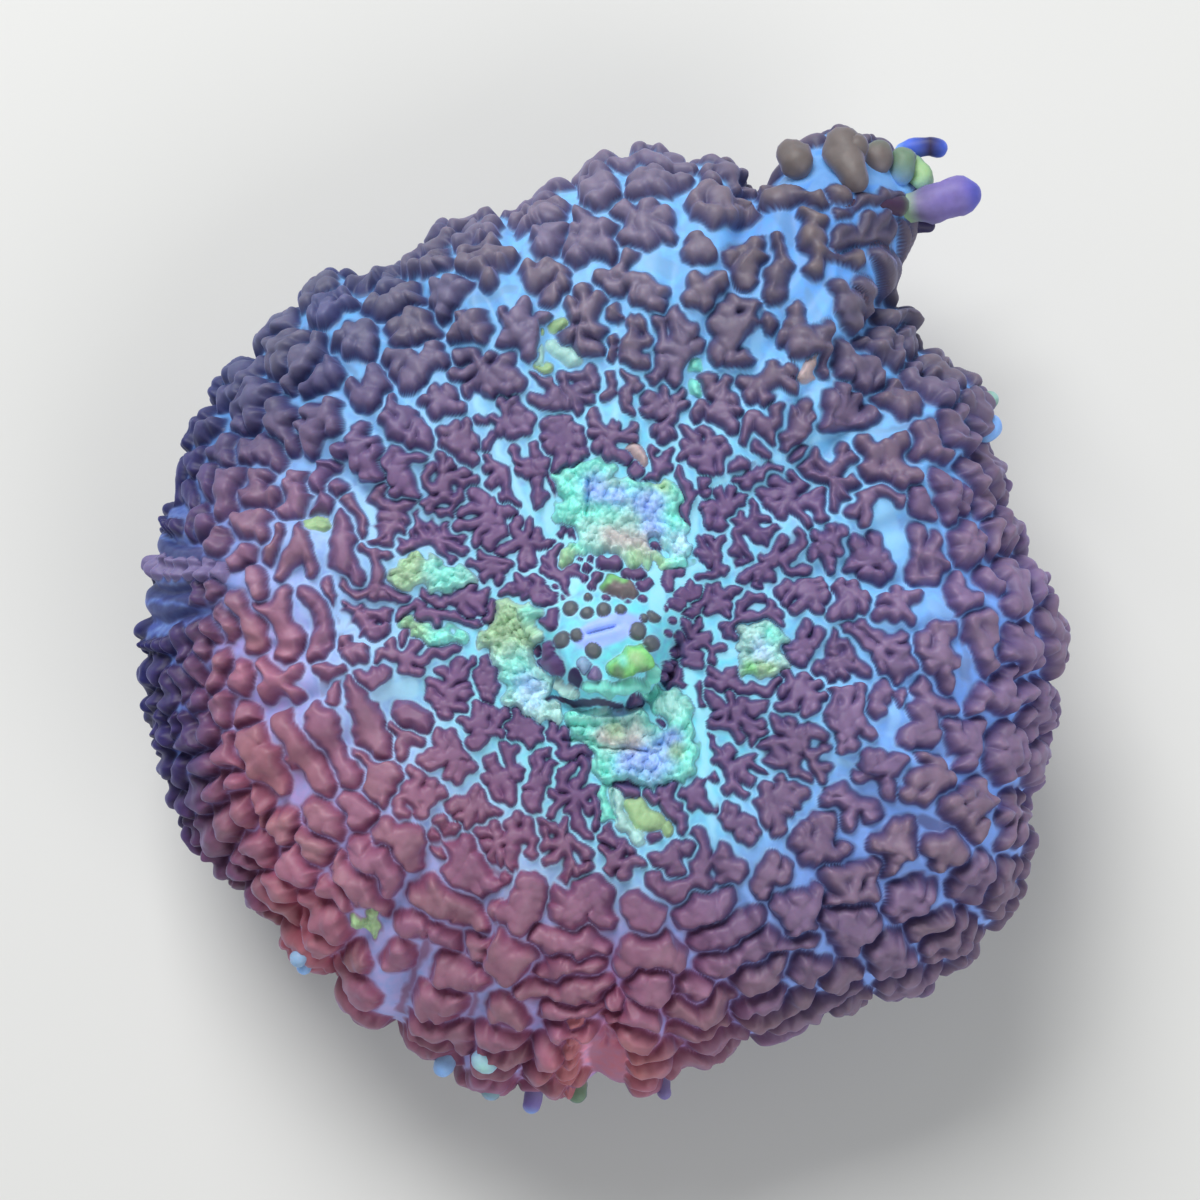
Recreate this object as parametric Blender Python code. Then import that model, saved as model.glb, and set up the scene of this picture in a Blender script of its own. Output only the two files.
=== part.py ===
"""A mushroom coral: one soft polyp, cut off flat under its foot and standing on the cut.

The polyp is a single piece of flesh: a short column that flares into a broad, drooping disc,
an oval mouth cone in the middle of the disc, knobs all round the margin, and one long lobe of
the margin that ends in a finger. Its outside passes through the tips of the tubercles.

Metres, +Z up. The origin is the centre of the cut under the foot, and the mouth is above it.
Directions round the polyp are in degrees from +X, towards +Y.
"""

import math

import bmesh
import bpy

# Driving sizes
MARGIN_RADIUS = 0.0412  # from the mouth's axis to the margin's knobs, where no lobe stands out
DISC_HEIGHT = 0.0315  # from the cut to the top of the oral disc
MARGIN_KNOBS = 42  # knobs round the margin
KNOB_DEPTH = 0.0011  # how far each knob stands out of the margin
STEPS = 4 * MARGIN_KNOBS  # steps round the polyp, four for each knob
RINGS_PER_SPAN = 2  # rings of the smoothed outline for each span between its points

# The polyp's half outline, down the outside from the disc's middle to the foot, as shares of
# MARGIN_RADIUS and DISC_HEIGHT.
HALF_OUTLINE = (
    (0.00, 0.985),
    (0.38, 0.990),
    (0.66, 0.985),
    (0.86, 0.870),
    (0.97, 0.700),
    (1.00, 0.560),
    (0.95, 0.480),
    (0.86, 0.600),
    (0.64, 0.740),
    (0.44, 0.640),
    (0.35, 0.350),
    (0.36, 0.130),
    (0.43, 0.000),
)

# Where the margin stands out or draws in: direction, half width, and the share it grows by.
MARGIN_LOBES = (
    (17, 13, -0.072),
    (40, 6, -0.062),
    (50, 4, -0.030),
    (59.7, 8.1, 0.234),
    (82, 10, 0.060),
    (104, 7, -0.050),
    (119, 7, -0.075),
    (150, 8, 0.022),
    (190, 20, 0.020),
    (224, 12, -0.028),
    (258, 8, 0.030),
    (291, 11, -0.040),
    (321, 12, 0.066),
)

# The waves that lift and lower the margin: waves round, direction of a crest, and height.
RUFFLES = (
    (1, 45, 0.0026),
    (3, 72, 0.0008),
    (7, 20, 0.0007),
    (11, 5, 0.0004),
)
STILL_SHARE = 0.45  # inside this share of the radius, lobes and ruffles change nothing
LEAN = 0.14  # how far the disc leans forward for each millimetre of height over its margin
MARGIN_HEIGHT = 0.0176  # of the margin's knobs

MOUTH_CENTRE = (0.0002, -0.0035)
MOUTH_HALF = (0.0052, 0.0046)  # half length and half width of the cone's foot
MOUTH_RISE = 0.0036  # the cone above the disc
MOUTH_SINK = 0.0030  # how deep the cone's foot is buried in the disc
MOUTH_STEPS = 40
SLIT_CENTRE = (-0.0002, -0.0026, DISC_HEIGHT + MOUTH_RISE)
SLIT_HALF = (0.0020, 0.0004, 0.0012)  # half length, half width and depth of the mouth's slit
SLIT_TURN = 15  # the slit's direction

FINGER_CENTRE = (0.0294, 0.0367, 0.0240)
FINGER_HALF = (0.0050, 0.0018, 0.0018)  # half length, half width and half thickness
FINGER_TURN = 10  # the finger's direction

WELD = 0.00001  # points closer than this are one
FLESH_COLOUR = (0.16, 0.10, 0.19, 1.0)
FLESH_ROUGHNESS = 0.45


def smooth_step(low, high, value):
    """0 up to low, 1 from high, and a smooth rise between them."""
    share = min(max((value - low) / (high - low), 0.0), 1.0)
    return share * share * (3 - 2 * share)


def swell(direction, centre, half_width):
    """1 over most of the half width to each side of the centre, and 0 a little past it."""
    apart = (direction - centre + 180) % 360 - 180
    return math.exp(-((apart / half_width) ** 6))


def smoothed(points, per_span):
    """The points of a Catmull-Rom curve through the given ones."""
    ends = [points[0], *points, points[-1]]
    curve = []
    for before, start, end, after in zip(ends, ends[1:], ends[2:], ends[3:]):
        for step in range(per_span):
            t = step / per_span
            curve.append(
                tuple(
                    0.5
                    * (
                        2 * b
                        + (c - a) * t
                        + (2 * a - 5 * b + 4 * c - d) * t**2
                        + (3 * b - a - 3 * c + d) * t**3
                    )
                    for a, b, c, d in zip(before, start, end, after)
                )
            )
    return [*curve, points[-1]]


def clear_scene():
    for obj in list(bpy.data.objects):
        bpy.data.objects.remove(obj)


def new_collection(name):
    collection = bpy.data.collections.new(name)
    bpy.context.scene.collection.children.link(collection)
    return collection


def flesh():
    """The soft, slightly wet flesh."""
    material = bpy.data.materials.new("flesh")
    material.use_nodes = True
    shader = material.node_tree.nodes["Principled BSDF"]
    shader.inputs["Base Color"].default_value = FLESH_COLOUR
    shader.inputs["Roughness"].default_value = FLESH_ROUGHNESS
    shader.inputs["Metallic"].default_value = 0.0
    return material


def turned(name, outline, steps):
    """A closed solid turned about Z from a half outline that runs down its outer side."""
    mesh = bpy.data.meshes.new(name)
    turn = bmesh.new()
    points = [turn.verts.new((radius, 0.0, height)) for radius, height in outline]
    profile = points + [turn.edges.new(pair) for pair in zip(points, points[1:])]
    bmesh.ops.spin(
        turn, geom=profile, cent=(0, 0, 0), axis=(0, 0, 1), angle=2 * math.pi, steps=steps
    )
    bmesh.ops.remove_doubles(turn, verts=turn.verts, dist=WELD)
    bmesh.ops.recalc_face_normals(turn, faces=turn.faces)
    turn.to_mesh(mesh)
    turn.free()
    return bpy.data.objects.new(name, mesh)


def flowed(radius, height, angle):
    """Where a point of the plain turned polyp lies on the lobed, drooping one."""
    direction = math.degrees(angle)
    share = radius / MARGIN_RADIUS
    edge = smooth_step(STILL_SHARE, 1.0, share)
    growth = sum(size * swell(direction, at, half) for at, half, size in MARGIN_LOBES)
    lift = sum(
        size * math.cos(waves * (angle - math.radians(at))) for waves, at, size in RUFFLES
    )
    knob = 0.5 * KNOB_DEPTH * math.cos(MARGIN_KNOBS * angle) * smooth_step(0.80, 1.0, share)
    radius = radius * (1 + growth * edge) + knob
    lean = LEAN * max(height - MARGIN_HEIGHT, 0.0)
    return radius * math.cos(angle), radius * math.sin(angle) - lean, height + lift * edge


def polyp_body():
    """The column and the disc: the smoothed outline, turned, then pushed into its lobes."""
    outline = [
        (share * MARGIN_RADIUS, rise * DISC_HEIGHT)
        for share, rise in smoothed(HALF_OUTLINE, RINGS_PER_SPAN)
    ]
    body = turned("polyp", [*outline, (0.0, 0.0)], STEPS)
    for vertex in body.data.vertices:
        x, y, z = vertex.co
        vertex.co = flowed(math.hypot(x, y), z, math.atan2(y, x))
    return body


def mouth_cone():
    """The oval cone that carries the mouth: a rounded barrel, widest half way up."""
    foot = DISC_HEIGHT - MOUTH_SINK
    top = DISC_HEIGHT + MOUTH_RISE
    outline = (
        (0.00, top - 0.0003),
        (0.45, top - 0.0001),
        (0.72, top - 0.0005),
        (0.90, top - 0.0016),
        (0.96, top - 0.0032),
        (0.90, DISC_HEIGHT - 0.0004),
        (0.85, foot),
        (0.00, foot),
    )
    cone = turned("mouth_cone", outline, MOUTH_STEPS)
    for vertex in cone.data.vertices:
        vertex.co.x = MOUTH_CENTRE[0] + vertex.co.x * MOUTH_HALF[0]
        vertex.co.y = MOUTH_CENTRE[1] + vertex.co.y * MOUTH_HALF[1]
    return cone


def egg(name, half_sizes, centre, turn):
    """A ball stretched to the three half sizes and turned about Z."""
    mesh = bpy.data.meshes.new(name)
    ball = bmesh.new()
    bmesh.ops.create_uvsphere(ball, u_segments=16, v_segments=10, radius=1.0)
    bmesh.ops.scale(ball, vec=half_sizes, verts=ball.verts)
    ball.to_mesh(mesh)
    ball.free()
    made = bpy.data.objects.new(name, mesh)
    made.location = centre
    made.rotation_euler.z = math.radians(turn)
    return made


def combine(target, tool, operation):
    """Joins the tool to the target, or cuts it out, with the exact Boolean."""
    boolean = target.modifiers.new(tool.name, "BOOLEAN")
    boolean.operation = operation
    boolean.object = tool
    tool.hide_render = True
    tool.display_type = "WIRE"


def main():
    clear_scene()
    coral = new_collection("mushroom_coral")
    tools = new_collection("cutters")
    polyp = polyp_body()
    coral.objects.link(polyp)
    polyp.data.materials.append(flesh())
    polyp.data.shade_smooth()
    for tool, operation in (
        (mouth_cone(), "UNION"),
        (egg("mouth_slit", SLIT_HALF, SLIT_CENTRE, SLIT_TURN), "DIFFERENCE"),
        (egg("lobe_finger", FINGER_HALF, FINGER_CENTRE, FINGER_TURN), "UNION"),
    ):
        tools.objects.link(tool)
        combine(polyp, tool, operation)


main()
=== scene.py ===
# %% [markdown]
# # A mushroom coral
#
# A mushroom coral is one soft polyp: a short column that spreads into a broad disc with a mouth
# in the middle. The disc is crowded with tubercles, little outgrowths of its own skin. Near the
# mouth they are fine and fingered like antlers, and towards the margin they swell into knobs.
#
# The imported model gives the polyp's plain solid. Everything here is built around it, so the
# first step loads it and keeps its box.

# %% Load the frame
import math
from collections import namedtuple

import bpy
import numpy as np
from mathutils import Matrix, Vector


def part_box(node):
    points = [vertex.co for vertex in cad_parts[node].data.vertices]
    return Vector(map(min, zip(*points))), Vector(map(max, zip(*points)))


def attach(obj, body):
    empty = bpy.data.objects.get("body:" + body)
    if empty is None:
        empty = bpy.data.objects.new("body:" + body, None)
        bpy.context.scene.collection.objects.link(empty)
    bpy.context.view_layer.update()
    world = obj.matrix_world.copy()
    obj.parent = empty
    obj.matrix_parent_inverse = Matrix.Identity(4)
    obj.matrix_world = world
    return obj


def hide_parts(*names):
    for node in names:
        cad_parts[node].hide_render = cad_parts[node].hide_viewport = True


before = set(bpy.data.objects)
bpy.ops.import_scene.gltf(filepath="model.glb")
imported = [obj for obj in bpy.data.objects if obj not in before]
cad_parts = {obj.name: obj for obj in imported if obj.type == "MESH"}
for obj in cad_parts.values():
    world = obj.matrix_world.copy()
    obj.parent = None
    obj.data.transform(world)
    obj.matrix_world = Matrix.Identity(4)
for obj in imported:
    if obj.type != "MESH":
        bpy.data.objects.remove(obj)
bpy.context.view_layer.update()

low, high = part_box("polyp")
print("the polyp's solid runs from", [round(v, 4) for v in low], "to", [round(v, 4) for v in high])

# %% [markdown]
# Lengths below are in millimetres, because the pattern is a few millimetres coarse, and they
# become metres when a mesh is made. The solid's width and height set the polyp's own sizes.

# %% Driving sizes
MM = 0.001
MARGIN = 0.4886 * (high.x - low.x) / MM  # radius of the plain margin
DISC_TOP = 0.900 * high.z / MM  # height of the disc, where its tubercles end
print(f"margin radius {MARGIN:.1f} mm, disc height {DISC_TOP:.1f} mm")

# %% [markdown]
# ## The camera, the floor and the light
#
# The coral is looked at almost from above, a little from its front. A long lens keeps the disc
# from bulging. The floor is plain and pale, and the light is soft: a wide lamp behind and above,
# so that each tubercle shades the one in front of it, and a weaker one at the front.

# %% Camera
CAMERA_TURN = (0.0, 82.0)  # degrees round from the front, degrees up
LENS = 85.0
SENSOR = 36.0  # the width of the camera's sensor, in millimetres like the lens
FRAME_WIDTH = 103.0  # millimetres of the disc's level that the picture is wide
AIM = (-0.0003, 0.0012, 0.0250)


def placed_camera(aim, azimuth, elevation, distance):
    """A camera that looks at aim from that direction and distance."""
    data = bpy.data.cameras.new("camera")
    data.lens = LENS
    camera = bpy.data.objects.new("camera", data)
    turn, rise = math.radians(azimuth), math.radians(elevation)
    camera.location = (
        aim[0] + distance * math.cos(rise) * math.sin(turn),
        aim[1] - distance * math.cos(rise) * math.cos(turn),
        aim[2] + distance * math.sin(rise),
    )
    camera.rotation_euler = (math.pi / 2 - rise, 0, turn)
    bpy.context.scene.collection.objects.link(camera)
    return camera


distance = FRAME_WIDTH * MM * LENS / SENSOR
bpy.context.scene.camera = placed_camera(AIM, *CAMERA_TURN, distance)
print(f"the camera is {distance / MM:.0f} mm away")

# %% Floor and light
LAMPS = (  # name, place, width, power
    ("key_light", (-0.16, 0.42, 0.50), 0.36, 4.4),
    ("fill_light", (0.35, -0.45, 0.45), 0.50, 2.0),
)
SKY_COLOUR, SKY_STRENGTH = (0.86, 0.89, 0.93, 1), 0.29
FLOOR = 1.5  # half the floor's width in metres
FLOOR_COLOUR, FLOOR_ROUGHNESS = (0.72, 0.72, 0.70, 1), 0.8


def area_light(name, place, size, power):
    """A square lamp at place that faces the coral."""
    data = bpy.data.lights.new(name, "AREA")
    data.size, data.energy = size, power
    lamp = bpy.data.objects.new(name, data)
    lamp.location = place
    facing = np.array(AIM) - np.array(place)
    lamp.rotation_euler = (
        math.atan2(math.hypot(facing[0], facing[1]), -facing[2]),
        0,
        math.atan2(facing[0], -facing[1]) + math.pi,
    )
    bpy.context.scene.collection.objects.link(lamp)


for lamp in LAMPS:
    area_light(*lamp)
world = bpy.data.worlds.new("studio")
world.use_nodes = True
sky = world.node_tree.nodes["Background"]
sky.inputs["Color"].default_value = SKY_COLOUR
sky.inputs["Strength"].default_value = SKY_STRENGTH
bpy.context.scene.world = world
bpy.context.scene.view_settings.view_transform = "Standard"

floor_mesh = bpy.data.meshes.new("floor")
floor_mesh.from_pydata(
    [(-FLOOR, -FLOOR, 0), (FLOOR, -FLOOR, 0), (FLOOR, FLOOR, 0), (-FLOOR, FLOOR, 0)],
    [],
    [(0, 1, 2, 3)],
)
floor = bpy.data.objects.new("floor", floor_mesh)
bpy.context.scene.collection.objects.link(floor)
floor_material = bpy.data.materials.new("floor")
floor_material.use_nodes = True
floor_shader = floor_material.node_tree.nodes["Principled BSDF"]
floor_shader.inputs["Base Color"].default_value = FLOOR_COLOUR
floor_shader.inputs["Roughness"].default_value = FLOOR_ROUGHNESS
floor_mesh.materials.append(floor_material)
print("the floor, two lamps and the camera are in place")

# %% [markdown]
# ## The bare skin
#
# Without its tubercles the polyp is almost a turned shape. Its half outline runs from the middle
# of the disc over the margin, under the disc and down the column, and lies below the solid's by
# a tubercle's height. Lobes then push the margin out or in, and slow waves lift it and lower it.
#
# A point of the skin is named by two numbers: how far it is along the outline from the mouth, and
# its direction. That unrolls the curled disc into a flat map, on which the tubercles can be laid
# out. On the map the distance is stretched by the lobes as the disc is, so that nothing drawn on
# it comes out longer on a lobe.

# %% The outline and its lobes
SKIN_OUTLINE = np.array(
    (
        (0.000, 0.943),
        (0.380, 0.949),
        (0.660, 0.936),
        (0.840, 0.832),
        (0.941, 0.680),
        (0.969, 0.570),
        (0.951, 0.500),
        (0.905, 0.510),
        (0.860, 0.600),
        (0.640, 0.740),
        (0.440, 0.640),
        (0.350, 0.350),
        (0.360, 0.130),
        (0.430, 0.000),
    )
)
MARGIN_LOBES = (  # direction, half width, share of growth
    (17, 13, -0.072),
    (40, 6, -0.062),
    (50, 4, -0.030),
    (59.7, 8.1, 0.234),
    (82, 10, 0.060),
    (104, 7, -0.050),
    (119, 7, -0.075),
    (150, 8, 0.022),
    (190, 20, 0.020),
    (224, 12, -0.028),
    (258, 8, 0.030),
    (291, 11, -0.040),
    (321, 12, 0.066),
)
RUFFLES = ((1, 45, 2.6), (3, 72, 0.8), (7, 20, 0.7), (11, 5, 0.4))  # waves, crest, height
STILL_SHARE = 0.45  # inside this share of the radius, lobes and ruffles change nothing
PER_SPAN = 40  # points of the smoothed outline for each span between its given points
TOP_SPANS = 7  # spans that carry tubercles: they end just under the margin
LEAN = 0.14  # how far the disc leans forward for each millimetre of height over its margin


def smooth_step(low_end, high_end, value):
    """0 up to the low end, 1 from the high end, and t*t*(3 - 2t) between them."""
    t = np.clip((value - low_end) / (high_end - low_end), 0, 1)
    return t * t * (3 - 2 * t)


def smooth_curve(points, per_span):
    """Points of the Catmull-Rom curve through the given ones: on each span, the cubic whose
    slope at each end is half of the step between that end's two neighbours."""
    ends = np.concatenate([points[:1], points, points[-1:]])
    t = np.arange(per_span)[:, None, None] / per_span
    a, b, c, d = ends[:-3], ends[1:-2], ends[2:-1], ends[3:]
    cubic = 2 * b + (c - a) * t + (2 * a - 5 * b + 4 * c - d) * t**2 + (3 * b - a - 3 * c + d) * t**3
    return np.concatenate([cubic.transpose(1, 0, 2).reshape(-1, 2) / 2, points[-1:]])


outline = smooth_curve(SKIN_OUTLINE, PER_SPAN) * (MARGIN, DISC_TOP)
steps = np.hypot(*np.diff(outline, axis=0).T)
walk = np.concatenate([[0], np.cumsum(steps)])  # distance along the outline
RIM = walk[np.argmax(outline[:, 0])]  # where the margin is widest
TOP_END = walk[PER_SPAN * TOP_SPANS]  # where the skin with tubercles ends
print(f"the outline is {walk[-1]:.1f} mm long, and the margin's edge is {RIM:.1f} mm along it")


def outline_at(along):
    """The outline's radius and height at a distance along it."""
    return np.interp(along, walk, outline[:, 0]), np.interp(along, walk, outline[:, 1])


def growth_at(direction):
    """How much the margin's lobes stretch the radius in a direction, in degrees: the sum of each
    one's share times exp(-a**6), where a is the angle from its middle over its half width."""
    total = 0
    for at, half, size in MARGIN_LOBES:
        apart = (direction - at + 180) % 360 - 180
        total = total + size * np.exp(-((apart / half) ** 6))
    return total


def lobe_edge(along):
    """The share of the lobes' growth that is felt at a distance along the outline."""
    return smooth_step(STILL_SHARE, 1.0, outline_at(along)[0] / MARGIN)


def skin(along, angle):
    """The bare skin's point at a distance along the outline and an angle in radians: the
    outline's radius, stretched by the lobes, turned about Z, lifted by the ruffles, and leaned
    forward by a share of its height over the margin."""
    radius, height = outline_at(along)
    edge = lobe_edge(along)
    lift = sum(size * np.cos(waves * (angle - np.radians(at))) for waves, at, size in RUFFLES)
    radius = radius * (1 + growth_at(np.degrees(angle)) * edge)
    lean = LEAN * np.clip(height - outline_at(RIM)[1], 0, None) * (np.asarray(along) < RIM)
    x, y = radius * np.cos(angle), radius * np.sin(angle) - lean
    return np.stack([x, y, height + lift * edge], axis=-1)


# %% [markdown]
# ### A grid without a pole
#
# Rings and spokes would crowd their points at the mouth and spread them at the margin. Instead a
# square grid is wrapped into the round map: each square ring of the grid becomes a circle. The
# cells stay nearly even, and a little finer in the middle, where the tubercles are finest.

# %% The wrapped square grid
CELLS = 672  # along each side
FINER = 0.80  # how much finer than even the cells are at the mouth

side = np.linspace(-1, 1, CELLS + 1)
a, b = np.meshgrid(side, side, indexing="ij")
wide = np.abs(a) > np.abs(b)
ring = np.maximum(np.abs(a), np.abs(b))
main = np.where(wide, a, np.where(b == 0, 1, b))
cross = np.where(wide, b, a)
turned = math.pi / 4 * cross / main
angle = np.where(wide, turned, math.pi / 2 - turned) + np.where(main < 0, math.pi, 0)
along = TOP_END * (FINER * ring + (1 - FINER) * ring**3)

# %% [markdown]
# The map's distances are stretched as the lobes stretch the disc there. Places on the disc are
# given as they are seen from above, for a disc with a margin of 44.5 mm, and are carried over to
# the map one by one.

# %% Places on the map
PLACES_MARGIN = 44.5
UNIT = MARGIN / PLACES_MARGIN
MAP_STEPS, SEEN_STEPS = 300, 200  # rows of the tables in which distances are looked up


def stretched(distance, heading):
    """The distance on the map of a place at a distance along the outline, in a direction."""
    return distance * (1 + growth_at(np.degrees(heading)) * lobe_edge(distance))


def unstretched(distance, heading):
    """The other way round, looked up in a table of distances."""
    steps_out = np.linspace(0, TOP_END, MAP_STEPS)
    return np.interp(distance, stretched(steps_out, heading), steps_out)


def on_map(x, y):
    """Where a place on the disc, seen from above and measured from the mouth, lies on the map:
    its direction is kept, and its distance is looked up along the outline."""
    x, y = UNIT * np.asarray(x, float), UNIT * np.asarray(y, float)
    direction = np.arctan2(y, x)
    steps_out = np.linspace(0, RIM, SEEN_STEPS)
    radius, edge = outline_at(steps_out)[0], lobe_edge(steps_out)
    found = np.array([
        np.interp(r, radius * (1 + growth_at(math.degrees(d)) * edge), steps_out)
        for r, d in zip(np.hypot(x, y), direction)
    ])
    found = stretched(found, direction)
    return np.stack([found * np.cos(direction), found * np.sin(direction)], axis=-1)


map_out = stretched(along, angle)
map_x, map_y = map_out * np.cos(angle), map_out * np.sin(angle)
print(f"{map_x.size} points, {along[CELLS // 2 + 1, CELLS // 2]:.3f} mm apart at the mouth")

# %% [markdown]
# ## What grows on the disc
#
# Every growth is a handful of round-ended strokes that run together: a start, an end and a
# radius each. An antler is a thick stroke with thin ones all round it, a knob is a short fat one,
# and a bare patch is a stroke of no height, which keeps its neighbours off.
#
# A growth's blend rounds the corners where its strokes meet, and its fill those between its dots.
# Its edge is how far inside its outline it is fully up, and its gap is half the width of the
# furrow to its neighbours. Tint gives its shade, stain its own colour, and grain its granules.

# %% Growths
Growth = namedtuple("Growth", "strokes blend fill edge height gap tint stain grain")
BARE_TINT = -1.0  # the tint of a patch that stays bare skin
growths = []


def grow(strokes, blend=0.3, fill=0.02, edge=0.4, height=1.0, gap=0.1, tint=0.5, stain="none", grain=0.0):
    """Adds a growth whose strokes are rows of x, y, end x, end y, radius on the map."""
    rows = np.atleast_2d(np.array(strokes, float))
    growths.append(Growth(rows, blend, fill, edge, height, gap, tint, list(STAINS).index(stain), grain))


def keep_bare(strokes):
    """Adds a growth of no height, which stays bare skin."""
    grow(strokes, blend=0.1, height=0.0, tint=BARE_TINT)


def stroke(x, y, *rest):
    """A stroke on the map from two points of the disc as seen from above and a radius. Without
    the second point it is a dot."""
    *end, radius = rest
    end_x, end_y = end or (x, y)
    start, end = on_map([x, end_x], [y, end_y])
    return (*start, *end, UNIT * radius)


# %% [markdown]
# ### Stains
#
# Some growths have a colour of their own, and the ink and dusk rows also serve as painted shadow
# by the mouth cone. They are kept in one short table, and a growth names its row in it. The first
# row means no stain.


# %% The table of stains
def linear(red, green, blue):
    """A screen colour from 0 to 255 as linear light."""
    c = np.array([red, green, blue]) / 255
    return tuple(float(v) for v in np.where(c <= 0.04045, c / 12.92, ((c + 0.055) / 1.055) ** 2.4))


SCREEN_STAINS = {
    "none": (110, 85, 120),
    "mint": (122, 220, 204),
    "lavender": (146, 166, 238),
    "peach": (186, 168, 168),
    "yellow": (152, 190, 138),
    "cream": (162, 212, 206),
    "green": (118, 205, 116),
    "moss": (104, 130, 108),
    "olive": (88, 98, 100),
    "brown": (108, 100, 98),
    "bark": (106, 98, 106),
    "blue": (130, 180, 245),
    "coral": (172, 104, 112),
    "white": (178, 216, 246),
    "lilac": (120, 108, 174),
    "violet": (84, 88, 186),
    # the ink and dusk rows are dark colours that also serve as painted shadow by the mouth cone
    "ink": (46, 40, 78),
    "dusk": (80, 76, 100),
    "frost": (138, 172, 206),
    "azure": (70, 104, 214),
    "rib": (118, 108, 150),
    "dark": (66, 44, 72),
}
STAINS = {name: linear(*colour) for name, colour in SCREEN_STAINS.items()}
print(len(STAINS) - 1, "stains")

# %% [markdown]
# ### Round the mouth
#
# Round buttons stand on the mouth cone. Among them are a few knobs and ridges, a green one at the
# front, and two places of no height with painted shadow: a dusky band in front of the cone and a dark pit.

# %% The mouth's surroundings
BUTTONS = (  # x, y, radius
    (-2.95, 1.25, 0.66), (-1.5, 0.72, 0.50), (-0.05, 0.95, 0.62), (1.5, 0.95, 0.48),
    (3.0, -0.9, 0.80), (4.3, -2.05, 0.72), (4.5, 0.55, 0.58), (3.6, 0.25, 0.36), (-2.35, -1.4, 0.58),
    (-0.95, -2.65, 0.70), (-3.8, -1.7, 0.72), (-1.4, 2.15, 0.34),
)
SMALL_BUTTONS = (
    (-3.7, 2.4), (2.2, 1.95), (3.5, 2.1), (5.6, 1.4), (6.2, 0.3), (-4.4, 3.2), (5.7, -0.9), (0.2, 2.2),
)
NEAR_MOUTH = (  # strokes, blend, edge, height, stain, grain
    (((0.60, 3.50, 2.20, 2.80, 0.96),), 0.3, 0.5, 0.8, "brown", 0.16),
    (
        ((-1.5, 5.0, 0.5), (-0.3, 5.5, 0.62), (1.0, 5.4, 0.66), (-1.5, 5.0, 1.0, 5.4, 0.4)),
        0.4, 0.35, 0.9, "none", 0,
    ),
    (((-4.5, 1.0, -4.7, -0.2, 0.50), (-4.7, -0.2, -5.4, 0.2, 0.3)), 0.3, 0.4, 0.6, "none", 0),
    (
        ((-5.0, -2.2, -4.9, -2.8, 0.62), (-5.6, -3.4, -4.3, -3.7, 0.45), (-4.3, -3.7, -3.9, -4.3, 0.42)),
        0.5, 0.4, 0.7, "none", 0,
    ),
    (((1.40, -4.25, 3.20, -3.25, 1.00),), 0.3, 0.55, 1.25, "green", 0.40),
    (((-1.9, -3.9, -1.5, -4.3, 0.55),), 0.3, 0.4, 0.8, "frost", 0),
    (((-0.9, -4.7, -0.7, -5.1, 0.56),), 0.3, 0.4, 0.7, "rib", 0),
    (
        ((-1.8, -5.6, 0.4, -5.9, 0.34), (0.4, -5.9, 3.4, -5.4, 0.40), (3.4, -5.4, 4.5, -4.2, 0.36)),
        0.5, 0.3, 0.8, "mint", 0.32,
    ),
    # painted shadow: a dusky band of no height in front of the cone, and next a dark pit
    (((-6.2, -6.6, -2.6, -7.0, 0.22), (-2.6, -7.0, 1.6, -7.2, 0.24)), 0.3, 0.4, 0.0, "dusk", 0),
    (((-2.7, -4.8, -2.4, -5.3, 0.50),), 0.3, 0.4, 0.0, "ink", 0),
    (((-4.0, -5.3, -2.6, -6.1, 0.50),), 0.3, 0.4, 0.6, "cream", 0.6),
)
for x, y, radius in BUTTONS:
    grow(stroke(x, y, radius), edge=0.5 * radius, height=0.42, gap=0.05, stain="olive")
for x, y in SMALL_BUTTONS:
    grow(stroke(x, y, 0.34), edge=0.25, height=0.35, tint=0.3)
for strokes, blend, edge, height, name, grain in NEAR_MOUTH:
    grow([stroke(*s) for s in strokes], blend, edge=edge, height=height, stain=name, grain=grain)
print(len(growths), "growths round the mouth")

# %% [markdown]
# ### Warty patches
#
# Several patches of pale folds lie round the mouth and scattered over the disc. Each is a flat
# growth of a few broad strokes, and its grain says how strongly it is covered in granules.

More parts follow.
